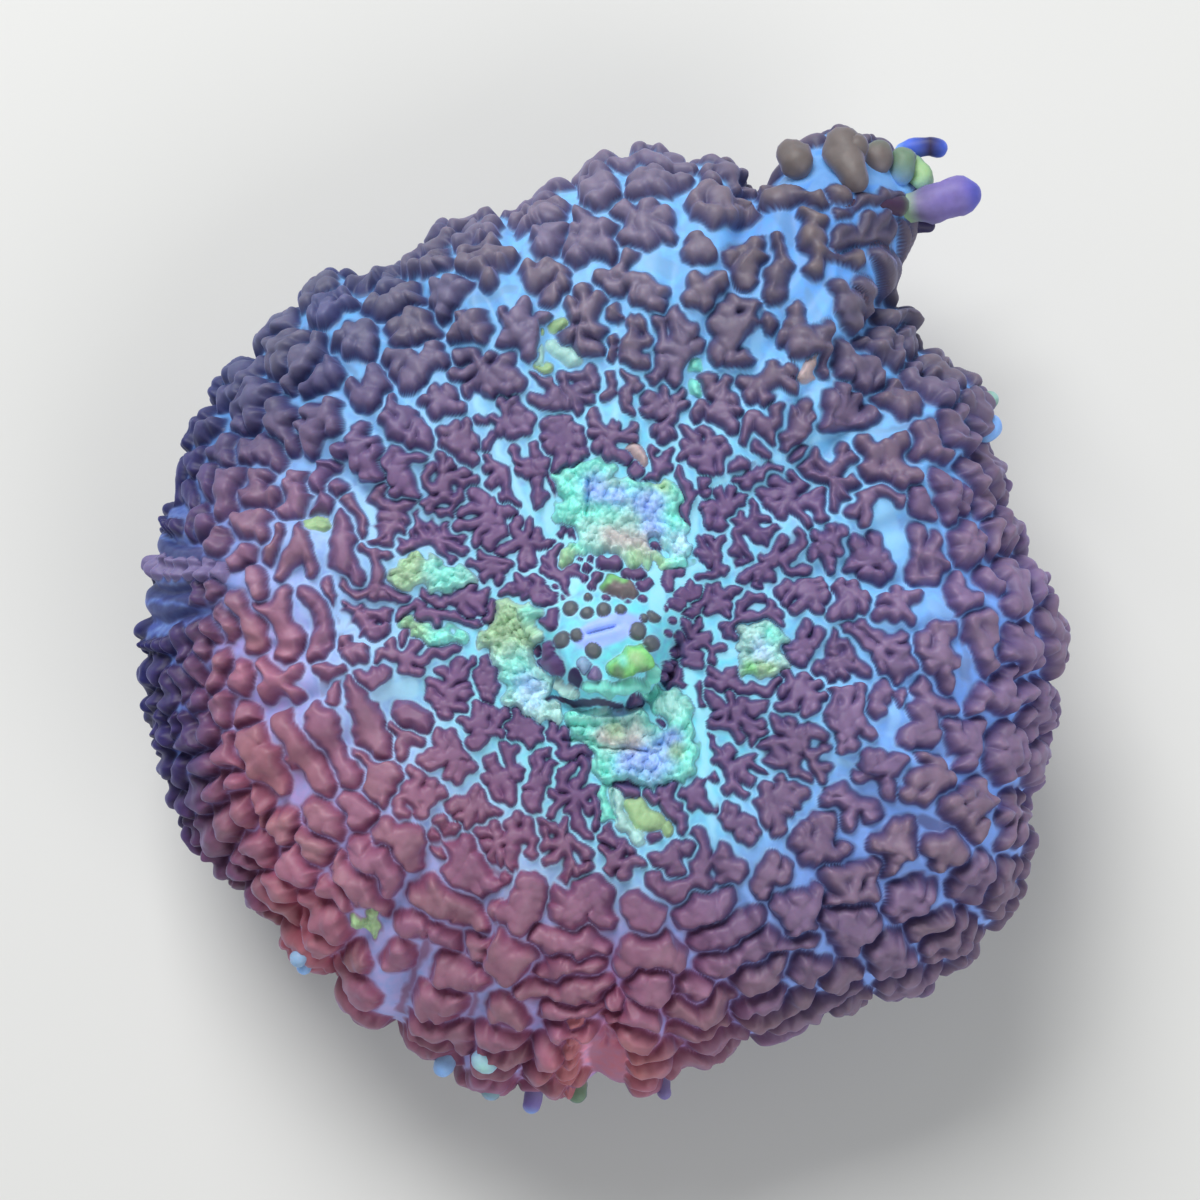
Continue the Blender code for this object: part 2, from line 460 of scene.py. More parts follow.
# %% Warty patches
PATCHES = (  # stain, how grainy, strokes
    ("mint", 1.0, (
        (-3.2, 12.9, -0.6, 14.0, 1.5), (-3.3, 10.4, 0.5, 12.0, 1.5), (0.5, 12.0, 5.6, 11.6, 1.7),
        (-0.5, 9.2, 5.5, 9.4, 1.6), (-1.0, 7.9, 2.4, 7.7, 1.4), (-3.2, 6.2, -2.4, 7.4, 0.8),
        (2.9, 6.2, 4.6, 5.8, 1.0), (6.6, 8.6, 6.9, 6.0, 1.2),
    )),
    ("cream", 1.0, (
        (-8.6, 0.8, -7.2, 0.4, 1.6), (-9.6, -1.0, -7.4, -1.6, 1.5), (-8.4, -3.0, -7.0, -5.0, 1.8),
        (-6.4, -5.6, -5.4, -5.6, 1.0), (-8.0, -6.6, -4.6, -8.0, 0.9),
    )),
    ("mint", 1.0, (
        (-2.3, -8.6, 3.0, -8.2, 1.0), (-1.3, -10.1, 4.0, -10.0, 1.2), (5.0, -6.6, 7.2, -7.6, 1.2),
        (6.6, -8.8, 6.8, -10.8, 1.6), (0.4, -12.0, 6.8, -12.2, 1.6), (1.0, -13.4, 6.5, -13.4, 1.0),
    )),
    ("cream", 1.0, (
        (13.2, -1.2, 15.2, -1.5, 1.3), (13.4, -3.4, 15.4, -3.2, 1.4), (14.2, -0.4, 0.8),
    )),
    ("cream", 1.0, (
        (-18.4, 4.6, -16.6, 5.4, 1.2), (-15.6, 4.6, -13.0, 4.2, 1.3), (-17.2, 6.6, 0.6),
    )),
    ("mint", 0.9, ((-17.6, 0.0, -15.2, -1.0, 0.8), (-15.2, -1.0, -13.0, -1.0, 0.7))),
    ("mint", 0.4, ((-0.3, -15.2, 0.5, -17.4, 0.55),)),
    ("cream", 0.4, ((1.1, -15.2, 1.7, -18.2, 0.7), (1.7, -18.4, 3.4, -19.3, 0.6))),
    ("yellow", 0.15, ((2.9, -16.2, 3.4, -17.6, 0.9), (3.4, -17.6, 5.5, -18.2, 0.85))),
    ("yellow", 0.1, ((-5.6, 27.2, 0.42),)),
    ("yellow", 0.1, ((-4.0, 28.0, 0.75),)),
    ("cream", 0.1, ((-2.3, 27.8, 0.50),)),
    ("cream", 0.2, ((-4.4, 26.0, -2.8, 24.7, 0.7), (-5.9, 25.4, -5.9, 24.5, 0.40))),
    ("yellow", 0.2, ((-5.7, 23.9, -5.2, 24.1, 0.55),)),
    ("yellow", 0.3, ((-26.9, 9.2, -26.5, 10.2, 0.7), (-25.9, 9.6, -25.5, 9.3, 0.6))),
    ("yellow", 0.6, ((-22.4, -27.0, -21.5, -27.6, 0.9), (-21.0, -26.4, 0.5))),
    ("mint", 0.3, ((8.4, 21.6, 8.6, 22.4, 0.5), (8.5, 23.8, 8.5, 24.2, 0.5))),
    ("peach", 0.2, ((18.8, 23.0, 19.4, 24.2, 0.9),)),
    ("peach", 0.2, ((2.9, 16.0, 3.4, 15.4, 0.6),)),
)
for name, grain, strokes in PATCHES:
    grow([stroke(*s) for s in strokes], blend=0.7, edge=0.5, height=0.5, gap=0.0, stain=name, grain=grain)
print(len(growths), "growths with the warty patches")

# %% [markdown]
# ### The lobe and the left margin
#
# Along the long lobe runs a bare band. Two scalloped ridges lie along its inner side, and a big
# knob stands beside the lobe. On the left margin three ribs of beads run straight out, the pale
# one the longest, and a coral-coloured one runs out at the front.

# %% Ridges of the lobe and the margin's ribs
LOBE_RIDGES = (  # height, strokes: direction, distance past the margin's edge, the end's, radius
    (1.9, ((47.6, -6.4, 1.2), (45.0, -2.0, 1.2), (47.6, -6.4, 45.0, -2.0, 1.1))),
    (0.9, (
        (60.2, -10.4, 0.85), (58.4, -8.6, 0.85), (56.8, -7.0, 0.8), (55.2, -5.4, 0.7),
        (60.2, -10.4, 55.2, -5.4, 0.6),
    )),
    (1.2, (
        (58.6, -12.6, 58.6, -11.0, 0.85), (56.8, -11.2, 56.8, -9.4, 0.85), (55.2, -10.0, 55.2, -8.0, 0.8),
        (53.6, -8.6, 53.6, -6.6, 0.7), (58.6, -12.4, 53.8, -8.4, 0.6),
    )),
)
BARE_BAND = (
    (67.0, -5.6, 63.6, -6.0, 1.3), (64.2, -9.4, 63.0, -5.0, 0.8), (62.6, -4.0, 61.8, -7.6, 1.5),
    (60.6, -6.4, 56.0, -4.6, 1.2), (59.0, -3.4, 57.0, -2.0, 1.2),
)
RIBS = (  # direction, first and last distance past the margin's edge, radius of a bead, stain
    (172.3, -12.5, 1.0, 1.15, "rib"),
    (182.5, -7.0, 1.0, 0.85, "none"),
    (167.0, -5.5, 1.0, 0.85, "none"),
)
BARE_BETWEEN_RIBS = (169.8, 175.4, 178.2)
FRONT_RIB, FRONT_BARE = 265.6, (270.4, 271.0)  # directions


def at_margin(direction, beyond, *rest):
    """A stroke from directions and distances past the margin's edge in place of x and y. Without
    the second pair it is a dot."""
    *end, radius = rest
    places = []
    for turn, past in ((direction, beyond), end or (direction, beyond)):
        turn = math.radians(turn)
        out = stretched(RIM + past, turn)
        places += [out * math.cos(turn), out * math.sin(turn)]
    return (*places, radius)


for height, strokes in LOBE_RIDGES:
    grow([at_margin(*s) for s in strokes], blend=0.7, edge=1.2, height=height, gap=0.12, tint=0.9)
keep_bare([at_margin(*s) for s in BARE_BAND])
for turn, first, last, bead, name in RIBS:
    for beyond in np.arange(first, last, 1.4 * bead):
        grow([at_margin(turn, beyond, bead)], edge=0.6, height=0.9, gap=0.0, stain=name)
for turn in BARE_BETWEEN_RIBS:
    keep_bare([at_margin(turn, -9.5, turn, 1.0, 0.6)])
for beyond in np.arange(-12.0, 1.5, 1.5):
    grow([at_margin(FRONT_RIB, beyond, 1.05)], edge=0.6, height=1.0, gap=0.0, stain="coral")
keep_bare([at_margin(FRONT_BARE[0], -9.0, FRONT_BARE[1], 1.0, 1.5)])
print(len(growths), "growths with the lobe's ridges and the ribs")

# %% [markdown]
# ### Spots and furrows
#
# The larger patches change colour from place to place. Spots of colour are laid over them, each
# strongest at its middle. The furrows between their folds are lines that sink in, and two more
# run down at the front.

# %% Spots and furrows
SPOTS = (  # stain, x, y, radius
    ("green", -0.1, 3.4, 0.34), ("green", 0.2, 3.8, 0.40), ("green", 0.75, 4.05, 0.40),
    ("green", 1.3, 3.9, 0.34), ("green", 1.8, 3.5, 0.26), ("green", 0.5, 3.3, 0.16),
    ("yellow", 2.6, -3.4, 0.4),
    ("moss", 1.2, -4.6, 0.4), ("moss", 3.2, -4.2, 0.3), ("mint", 1.6, -3.7, 0.3),
    ("lavender", -0.6, 12.6, 1.0), ("lavender", 1.2, 11.6, 0.9), ("lavender", 4.0, 11.0, 1.1),
    ("lavender", 4.4, 8.9, 0.9), ("cream", 2.4, 9.4, 1.0), ("mint", 0.4, 10.0, 1.0),
    ("peach", 0.6, 8.3, 1.3), ("peach", 2.2, 7.8, 1.2),
    ("peach", 3.8, 7.0, 1.0), ("yellow", 2.8, 5.8, 0.8), ("yellow", 4.8, 5.4, 0.8),
    ("yellow", -3.3, 5.8, 0.9), ("yellow", 5.2, 12.8, 0.7), ("white", 6.8, 7.4, 0.9),
    ("cream", -1.0, 8.4, 1.0), ("cream", 1.0, 13.4, 0.7), ("yellow", -8.8, 1.0, 1.5),
    ("yellow", -9.8, -0.8, 1.2), ("yellow", -7.0, -0.4, 1.2), ("mint", -6.2, 0.9, 0.8),
    ("mint", -8.0, -4.4, 1.4), ("lavender", -7.2, -5.2, 0.9), ("white", -6.6, -6.4, 0.9),
    ("cream", 0.0, -8.2, 1.0), ("cream", 2.4, -8.0, 1.0), ("peach", 2.6, -10.4, 1.1),
    ("peach", 0.4, -10.2, 0.8), ("yellow", 1.0, -9.6, 0.6), ("yellow", 6.4, -11.4, 0.6),
    ("lavender", 4.4, -12.2, 1.4), ("lavender", 2.4, -12.4, 1.0), ("lavender", 6.0, -10.4, 0.8),
    ("lavender", 1.6, -7.6, 0.8), ("cream", 6.2, -7.2, 0.9), ("mint", 15.4, -0.9, 0.8),
    ("yellow", 14.6, -3.8, 0.7), ("white", 14.4, -2.2, 0.7), ("green", 13.2, -4.2, 0.6),
    ("yellow", -18.0, 4.8, 1.4), ("yellow", -17.2, 6.4, 0.8), ("mint", -14.2, 4.4, 1.4),
    ("yellow", -17.4, -0.2, 1.0),
)
FURROWS = (  # start, end, half width, depth
    (-1.5, 13.4, -1.4, 10.2, 0.16, 0.9), (-3.0, -8.9, 1.2, -8.9, 0.22, 0.9),
    (-1.0, -11.0, 4.2, -11.2, 0.20, 0.9), (-3.6, -10.2, -0.8, -10.6, 0.20, 0.8),
    (0.0, -33.0, -0.1, -39.0, 0.35, 0.4), (1.0, -33.0, 1.2, -39.0, 0.35, 0.4),
    (0.2, -14.3, 3.0, -14.4, 0.25, 0.7), (0.9, -15.0, 1.0, -18.0, 0.16, 0.8),
)

# %% [markdown]
# ### Bare skin and the left side's cushions
#
# Here and there the skin stays bare. On the left side the tubercles are long cushions and pads
# with wide skin between them, and those are laid one by one.

# %% Bare patches and cushions
BARE = (
    (4.6, 6.0, 4.9, 1.3, 0.65), (7.6, -4.4, 8.4, -8.0, 0.45), (-2.6, 3.9, -2.9, 3.0, 0.35),
    (6.4, 3.4, 8.6, 5.2, 0.25),
    (8.6, 12.2, 7.8, 7.8, 0.35), (-4.6, 9.0, -5.4, 13.6, 0.30), (10.5, -2.6, 12.0, -2.4, 0.3),
    (-21.3, 10.8, -21.1, 8.6, 0.5), (-20.6, -6.4, -17.6, -5.4, 0.6), (25.4, 10.6, 27.2, 6.8, 0.7),
    (26.0, -6.5, 26.2, -9.3, 0.4), (28.6, -18.0, 30.6, -18.4, 0.5), (9.0, -7.5, 9.2, -13.5, 0.4),
    (9.4, -14.0, 10.2, -24.0, 0.10), (9.2, 12.6, 20.0, 17.5, 0.15), (20.0, 17.5, 28.0, 18.4, 0.12),
    (4.6, 33.6, 6.2, 33.0, 0.6), (16.8, 38.2, 17.4, 35.6, 0.5), (-12.0, 30.4, -8.6, 31.4, 0.3),
    (-15.4, -27.0, -19.2, -36.5, 0.2),
    (-25.0, 26.0, -22.0, 22.0, 0.15), (-12.0, 22.0, -6.5, 10.0, 0.10), (14.0, 25.0, 14.4, 29.0, 0.3),
    (1.0, 19.0, 2.0, 31.0, 0.08), (-8.0, -22.0, -12.6, -36.0, 0.10), (33.0, -2.0, 33.2, -5.0, 0.3),
    (20.0, -12.0, 27.0, -14.4, 0.15), (30.0, 1.6, 31.5, 1.0, 0.4), (19.0, 30.4, 20.0, 27.6, 0.3),
)
CUSHIONS = (  # strokes of each
    ((-27.0, 2.9, -25.3, 1.0, 0.95), (-25.3, 1.0, -25.2, -0.8, 1.05), (-25.2, -0.8, -26.1, -2.4, 0.95)),
    ((-29.1, 2.9, -29.6, 1.2, 0.85), (-31.5, 1.8, -29.6, 1.2, 0.75), (-29.6, 1.2, -28.2, -0.8, 1.25),
     (-28.2, -0.8, -29.0, -2.6, 1.15)),
    ((-33.6, 2.2, -32.2, 0.2, 1.25), (-32.2, 0.2, -31.6, -1.4, 1.15)),
    ((-29.5, -4.6, -31.1, -3.4, 0.75), (-29.5, -4.6, -27.6, -4.0, 0.75), (-29.5, -4.6, -28.2, -6.4, 0.8),
     (-29.5, -4.6, -30.8, -6.2, 0.8), (-29.5, -4.6, 1.2)),
    ((-25.6, -3.7, -24.6, -4.6, 0.6), (-24.6, -4.6, -23.5, -3.9, 0.5), (-24.6, -4.6, -25.2, -6.0, 0.65)),
    ((-22.9, -5.6, -22.0, -7.2, 1.1), (-22.0, -7.2, -20.7, -10.2, 1.45), (-20.7, -10.2, -20.2, -11.6, 1.1)),
    ((-26.2, -7.6, -24.9, -8.4, 0.9), (-25.6, -9.0, -23.8, -12.2, 1.45), (-23.8, -12.2, -22.8, -13.8, 1.2)),
    ((-29.0, -8.6, -27.6, -11.2, 1.25), (-27.6, -11.2, -25.2, -14.2, 1.35),
     (-27.6, -11.2, -28.6, -12.4, 0.9)),
    ((-17.8, -7.8, -16.8, -8.8, 1.3), (-16.8, -8.8, -15.8, -8.4, 0.7)),
    ((-23.8, 9.8, -23.6, 8.0, 0.85), (-23.6, 8.0, -23.8, 6.0, 1.35), (-22.6, 5.4, -22.4, 4.4, 0.6)),
    ((-27.4, 9.2, -27.5, 7.4, 0.8), (-27.5, 7.4, -29.0, 6.0, 0.9), (-27.5, 7.4, -26.4, 5.2, 0.8),
     (-29.0, 6.0, -29.4, 4.8, 0.8)),
    ((-26.0, 13.6, -25.8, 11.6, 1.3), (-25.8, 11.6, -26.8, 10.8, 0.7), (-26.4, 15.2, -24.8, 15.0, 0.6)),
)
for patch in BARE:
    keep_bare([stroke(*patch)])
for number, strokes in enumerate(CUSHIONS):
    grow([stroke(*s) for s in strokes], blend=0.6, edge=0.7, height=1.3, tint=(0.37 * number) % 1)
print(len(growths), "growths placed one by one")

# %% [markdown]
# ### Working out depths
#
# For each point of the map, a growth has a depth: how far inside its outline the point lies, or
# minus how far outside. Each point keeps the deepest growth and the runner-up. Where the two are
# equally deep lies the furrow between them, so neighbours interlock and never cross. Each stroke
# also has a round top, a half cylinder with half balls at its ends. The map is first bent a
# little by slow waves, so that no stroke is quite straight.

# %% Depths
NO_DEPTH = -2.0
PAST_RADIUS = 0.9  # how far past its strokes a growth is worked out
ROD_SHARE = 0.72  # how high a stroke's round top stands against a dot's
GRAIN_WAVE = 0.30  # how far grain bends an outline
LOBE_DIRECTION, LOBE_SPREAD, LOBE_START = 61, 26, 22  # where the long lobe stretches the grid's cells
best = np.full(map_x.shape, NO_DEPTH)
second = np.full(map_x.shape, NO_DEPTH)
owner = np.zeros(map_x.shape, int)
cap = np.zeros(map_x.shape)  # the height of the round tops, from 0 at an outline to 1


def ripple(x, y, length, start):
    """A smooth field of about -1 to 1: five plane waves of that length, each turned from the last."""
    total = 0
    for k in range(5):
        heading, reach = start + 2.4 * k, length * (0.8 + 0.12 * k)
        along_wave = x * math.cos(heading) + y * math.sin(heading)
        total = total + np.sin(2 * math.pi * along_wave / reach + 1.7 * start + 2.9 * k)
    return total / 2.6


calm_mouth = 0.3 + 0.7 * smooth_step(4.0, 8.0, along)
bent_x, bent_y = (
    start + calm_mouth * (0.20 * ripple(map_x, map_y, 3.4, slow) + 0.07 * ripple(map_x, map_y, 1.2, quick))
    for start, slow, quick in ((map_x, 0.3, 2.0), (map_y, 1.2, 4.1))
)


def off_stroke(x, y, ax, ay, bx, by):
    """How far places are from the line between a and b: from its point at the share t, where t
    is (p - a).(b - a) / |b - a|**2, kept between 0 and 1."""
    length = max((bx - ax) ** 2 + (by - ay) ** 2, 1e-9)
    t = np.clip(((x - ax) * (bx - ax) + (y - ay) * (by - ay)) / length, 0, 1)
    return np.hypot(x - ax - t * (bx - ax), y - ay - t * (by - ay))


def smooth_max(one, other, blend):
    """The larger of two, with the corner between them filled over a width of blend."""
    mixed = np.clip(blend - np.abs(one - other), 0, None)
    return np.maximum(one, other) + mixed * mixed / (4 * blend)


def grid_place(x, y):
    """The row and column of the grid, as fractions, at a place on the map."""
    middle = CELLS // 2
    heading = math.atan2(y, x)
    square = np.interp(unstretched(math.hypot(x, y), heading), along[middle, middle:], side[middle:])
    quarter = round(heading / (math.pi / 2))
    slant = square * (heading - quarter * math.pi / 2) / (math.pi / 4)
    row, column = ((square, slant), (-slant, square), (-square, -slant), (slant, -square))[quarter % 4]
    return (row + 1) / 2 * CELLS, (column + 1) / 2 * CELLS, square


def window(x, y, reach):
    """The part of the grid that holds every point within reach of a place on the map."""
    row, column, square = grid_place(x, y)
    # where the wrapped cells slant most they are 0.6 as wide as even ones, and 0.56 is safe
    cell = 0.56 * 2 / CELLS * TOP_END * (FINER + (1 - FINER) * square**2)
    aside = abs(math.degrees(math.atan2(y, x)) - LOBE_DIRECTION)
    beside_lobe = math.hypot(x, y) > LOBE_START and aside < LOBE_SPREAD
    spread = ((2.0 * reach + 6.0) if beside_lobe else reach) / cell + 2
    return (
        slice(max(0, int(row - spread)), int(row + spread) + 2),
        slice(max(0, int(column - spread)), int(column + spread) + 2),
    )


def paint(number):
    """Works one growth into the depths round it."""
    growth = growths[number]
    s = growth.strokes
    ends = np.concatenate([s[:, :2], s[:, 2:4]])
    centre = (ends.min(axis=0) + ends.max(axis=0)) / 2
    reach = np.hypot(*(ends - centre).T).max() + s[:, 4].max() + PAST_RADIUS
    view = window(*centre, reach)
    x, y = bent_x[view], bent_y[view]
    depth = np.full(x.shape, NO_DEPTH)
    top = np.zeros(x.shape)
    crowd = np.full(x.shape, 1e-60)
    for ax, ay, bx, by, radius in s:
        inside = radius - off_stroke(x, y, ax, ay, bx, by)
        depth = smooth_max(depth, inside, growth.blend)
        ball = np.sqrt(np.clip(1 - (1 - inside / radius) ** 2, 0, 1))
        dot = math.hypot(bx - ax, by - ay) < 0.001
        if dot:
            crowd += np.exp(np.clip(inside / growth.fill, -30, 30))
        top = smooth_max(top, ball if dot else ROD_SHARE * ball, max(0.12, 0.35 * growth.blend))
    depth = np.maximum(depth, growth.fill * np.log(crowd))
    if growth.grain:
        depth = depth + GRAIN_WAVE * min(1, 1.5 * growth.grain) * ripple(map_x[view], map_y[view], 1.5, 0.7)
    ahead = depth > best[view]
    second[view] = np.where(ahead, best[view], np.maximum(second[view], depth))
    cap[view] = np.where(ahead, top, cap[view])
    best[view] = np.where(ahead, depth, best[view])
    owner[view] = np.where(ahead, number, owner[view])


for number in range(len(growths)):
    paint(number)

# %% [markdown]
# ### The crowd of tubercles
#
# The rest stand in rows that run out from the mouth, along the partitions inside the polyp. Near
# the mouth they are antlers, further out they are lobed pads, at the front left they are long
# cushions laid across the rows, and on the left margin small beads. First come their centres.
#
# Much changes with the distance from the mouth. One table holds it: each row has its values at
# six distances, and in between they are read off straight lines.

# %% What changes outwards
DISTANCES = (6, 12, 19, 27, 36, 44)
OUTWARDS = {
    "spacing": (0.86, 0.93, 1.06, 1.50, 2.00, 2.20),  # between buds
    "spread": (0.97, 0.97, 0.94, 0.86, 0.84, 0.88),  # how much of their distance from the middle buds keep
    "thickness": (0.38, 0.42, 0.49, 0.74, 1.00, 1.12),  # of a bud
    "web": (0.02, 0.03, 0.06, 0.2, 0.2, 0.0),  # how likely two more near buds are joined
    "link": (0.92, 0.92, 0.92, 0.88, 0.80, 0.70),  # a joint's thickness against a bud's
    "body": (1.6, 1.65, 1.6, 1.4, 1.25, 1.1),  # the middle bud's against the others'
    "blend": (0.24, 0.28, 0.32, 0.45, 0.45, 0.4),
    "fill": (0.04, 0.05, 0.08, 0.22, 0.25, 0.22),
    "edge": (0.26, 0.30, 0.40, 0.60, 0.80, 0.90),
    "height": (0.50, 0.65, 0.90, 1.25, 1.35, 1.15),
    "gap": (0.13, 0.13, 0.13, 0.13, 0.08, 0.02),
    "dome_power": (0.8, 0.8, 0.85, 0.9, 1.0, 1.0),  # under 1 makes the walls steeper
    "flat_share": (0.80, 0.78, 0.70, 0.58, 0.50, 0.50),  # of a top that is level and not round
    "light": (0.92, 0.94, 1.00, 1.06, 1.06, 1.06),
    "colour_ramp": (0.09, 0.10, 0.14, 0.20, 0.26, 0.28),  # how far up the walls the skin's colour fades
}


def outwards(name, out):
    """A row's value at a distance from the mouth."""
    return np.interp(out, DISTANCES, OUTWARDS[name])


print(len(OUTWARDS), "rows, from", DISTANCES[0], "to", DISTANCES[-1], "mm")

# %% Centres in rows
ROWS = (  # nearest, farthest, from and to which direction, rows, step along a row, flatness
    (6.0, 12.0, 0, 360, 15, 4.2, 1.5),
    (12.5, 23.0, 0, 360, 27, 5.0, 1.4),
    (23.5, 31.5, -62, 180, 24, 4.9, 1.0),
    (32.0, TOP_END - 0.8, -62, 158, 28, 4.4, 0.9),
    (32.0, TOP_END - 0.8, 158, 214, 13, 2.6, 0.7),
    (23.0, 31.5, 180, 298, 9, 2.8, 0.42),
    (32.0, TOP_END - 0.8, 214, 298, 9, 2.8, 0.42),
)
rng = np.random.default_rng(11)
centres = []
for near, far, start, end, count, step, flatness in ROWS:
    for k in range(count):
        out = near + rng.uniform(0, step) * 0.8
        while out < far:
            direction = math.radians(start + (end - start) * (k + 0.5) / count) + rng.normal(0, 0.6) / out
            far_out = float(stretched(out, direction))
            x, y = far_out * math.cos(direction), far_out * math.sin(direction)
            centres.append((x, y, flatness * rng.uniform(0.8, 1.25)))
            out += step * rng.uniform(0.65, 1.35)
centres = np.array(centres)
print(len(centres), "centres in rows")

# %% [markdown]
# A tubercle is a little tree. Buds are dropped all over the disc, no two closer than a finger and
# a gap, and each joins the tubercle whose centre is nearest. Inside a tubercle, every bud is
# joined to one nearer its centre. Fine buds far apart make antlers, and fat ones that touch make
# lobed pads.

# %% Buds
CONE_CENTRE, CONE_HALF = (0.2, -1.9), (4.9, 4.4)  # the oval that the mouth cone takes up
TRIES = 32000
NEAREST = 0.78  # how near two buds may be, as a share of their spacing
CONE_FREE = 1.12  # how far out of the oval they stay, as a share of it
buds = np.empty((0, 2))
drops = (TOP_END - 0.6) * rng.uniform(0.012, 1, TRIES) ** 0.62
headings = rng.uniform(0, 2 * math.pi, TRIES)
drops = stretched(drops, headings)
for x, y in np.stack([drops * np.cos(headings), drops * np.sin(headings)], axis=-1):
    apart = np.hypot(buds[:, 0] - x, buds[:, 1] - y)
    if apart.min(initial=9.0) > NEAREST * outwards("spacing", math.hypot(x, y)):
        buds = np.concatenate([buds, [(x, y)]])
rows, columns, _ = np.transpose([grid_place(*bud) for bud in buds])
far_off = np.hypot(*((buds - CONE_CENTRE) / CONE_HALF).T)
out = np.hypot(*buds.T)
taken = best[rows.round().astype(int), columns.round().astype(int)]
free = taken < np.where(out < 24, -0.08, -0.22) * outwards("spacing", out)
buds = buds[free & (far_off > CONE_FREE)]

apart = buds[:, None] - centres[None, :, :2]
outward = centres[:, :2] / np.hypot(*centres[:, :2].T)[:, None]
past = (apart * outward).sum(axis=-1)
sideways = apart[..., 1] * outward[:, 0] - apart[..., 0] * outward[:, 1]
home = np.hypot(past, sideways * centres[:, 2]).argmin(axis=1)
print(len(buds), "buds,", len(set(home)), "tubercles")


# %% Join the buds into tubercles
def bud_pairs(centre, members, spacing, web):
    """Pairs of buds that are joined: each with the one nearer the centre for which the step plus
    0.45 of what is left to the centre is least, and some other near neighbours."""
    order = members[np.argsort(np.hypot(*(members - centre).T))]
    pairs = [(order[0], order[0])]
    for k in range(1, len(order)):
        steps = np.hypot(*(order[:k] - order[k]).T)
        cost = steps + 0.45 * np.hypot(*(order[:k] - centre).T)
        pairs.append((order[cost.argmin()], order[k]))
        for near in np.flatnonzero((steps < 1.45 * spacing) & (rng.random(k) < web)):
            pairs.append((order[near], order[k]))
    return pairs


for number in range(len(centres)):
    members = buds[home == number]
    if len(members) == 0:
        continue
    centre = members.mean(axis=0)
    out = math.hypot(*centre)
    at = {name: outwards(name, out) for name in OUTWARDS}
    leftmost = centre[0] < -34 and abs(centre[1]) < 18
    drawn_in = at["spread"] + rng.uniform(-0.14, 0.11)
    cushion = 1.15 if centres[number, 2] < 0.6 else 1.0
    members = centre + (members - centre) * (drawn_in - 0.6 * (cushion - 1))
    thickness = cushion * at["thickness"] * rng.uniform(0.93, 1.1)
    pairs = bud_pairs(centre, members, at["spacing"], at["web"])
    link = thickness * at["link"]
    heads = [(*bud, *bud, thickness * rng.uniform(0.88, 1.22)) for bud in members]
    nearest = members[np.hypot(*(members - centre).T).argmin()]
    body = (*nearest, *nearest, thickness * at["body"])
    grow(
        heads + [body, (*centre, *nearest, thickness * 1.1)] + [(*start, *end, link) for start, end in pairs],
        blend=at["blend"] * cushion**3,
        fill=at["fill"] * cushion**4,
        edge=at["edge"],
        height=at["height"] * rng.uniform(0.85, 1.15) * (0.7 if leftmost else 1),
        gap=at["gap"] * (0.3 + 1.7 * (0.618 * number % 1) ** 1.5),
        tint=rng.uniform(0, 1),
    )
    paint(len(growths) - 1)
print(len(growths), "growths in all")

# %% [markdown]
# ### Granules
#
# The warty patches are masses of granules. A square lattice with one point jittered in each of
# its cells gives them: the nearest such point makes a round bump, and its cell gives it a shade.


# %% Granules
def granules(x, y, size):
    """For each place, the distance to the nearest jittered lattice point in cells, and a number
    from 0 to 1 that belongs to that point. The jitter is the fraction of a large sine."""
    cell_x, cell_y = np.floor(x / size), np.floor(y / size)
    nearest, shade = np.full(x.shape, 9.0), np.zeros(x.shape)
    for i in (-1, 0, 1):
        for j in (-1, 0, 1):
            u, v = cell_x + i, cell_y + j
            sines = [np.abs(np.sin(u * a + v * b) * 9173.3) for a, b in ((1.7, 9.2), (7.3, 2.9))]
            chance = [np.modf(sine)[0] for sine in sines]
            apart = np.hypot(x / size - u - chance[0], y / size - v - chance[1])
            shade = np.where(apart < nearest, chance[0], shade)
            nearest = np.minimum(nearest, apart)
    return nearest, shade


def dome(t):
    """A parabola: steep at 0, level from 1 on."""
    return 1 - (1 - np.clip(t, 0, 1)) ** 2


# %% [markdown]
# ### The relief
#
# A growth rises steeply at its outline and levels off, partly to a flat top and partly to the
# round tops of its strokes. Granules of two sizes are added to the grainy ones, and the furrows
# are cut in. Towards the skin's end, under the margin, everything fades out.

# %% Height of the growths
edges, heights, gaps, tints, stains, grains = (
    np.array([getattr(g, name) for g in growths])[owner]
    for name in ("edge", "height", "gap", "tint", "stain", "grain")
)
depth = np.minimum(best, (best - second) / 2 - gaps)
print(f"growths cover {100 * np.mean((depth > 0) & (heights > 0)):.0f} % of the map")
fade = 1 - smooth_step(RIM + 1.5, TOP_END - 0.3, along)
flat_share = outwards("flat_share", along)
rise = heights * dome(depth / edges) ** outwards("dome_power", along)
rise = rise * (flat_share + (1 - flat_share) * cap) * fade
big_granule, shade = granules(map_x, map_y, 0.72)
small_granule, small_shade = granules(map_x + 40, map_y, 0.40)
bumps = 0.42 * np.sqrt(np.clip(1 - (big_granule / 0.62) ** 2, 0, 1))
bumps += 0.16 * np.sqrt(np.clip(1 - (small_granule / 0.62) ** 2, 0, 1))
rise = rise + bumps * grains * np.clip(depth / 0.3, 0, 1)
for *line, width, sink in FURROWS:
    off = off_stroke(bent_x, bent_y, *stroke(*line, width)[:4])
    rise = rise - sink * np.exp(-((off / width) ** 2))
print(f"the tallest growth stands {rise.max():.2f} mm over the skin")

# %% [markdown]
# ### The mouth cone
#
# The mouth sits on a low oval cone with a pale lip round a narrow slit. A moat runs in front.

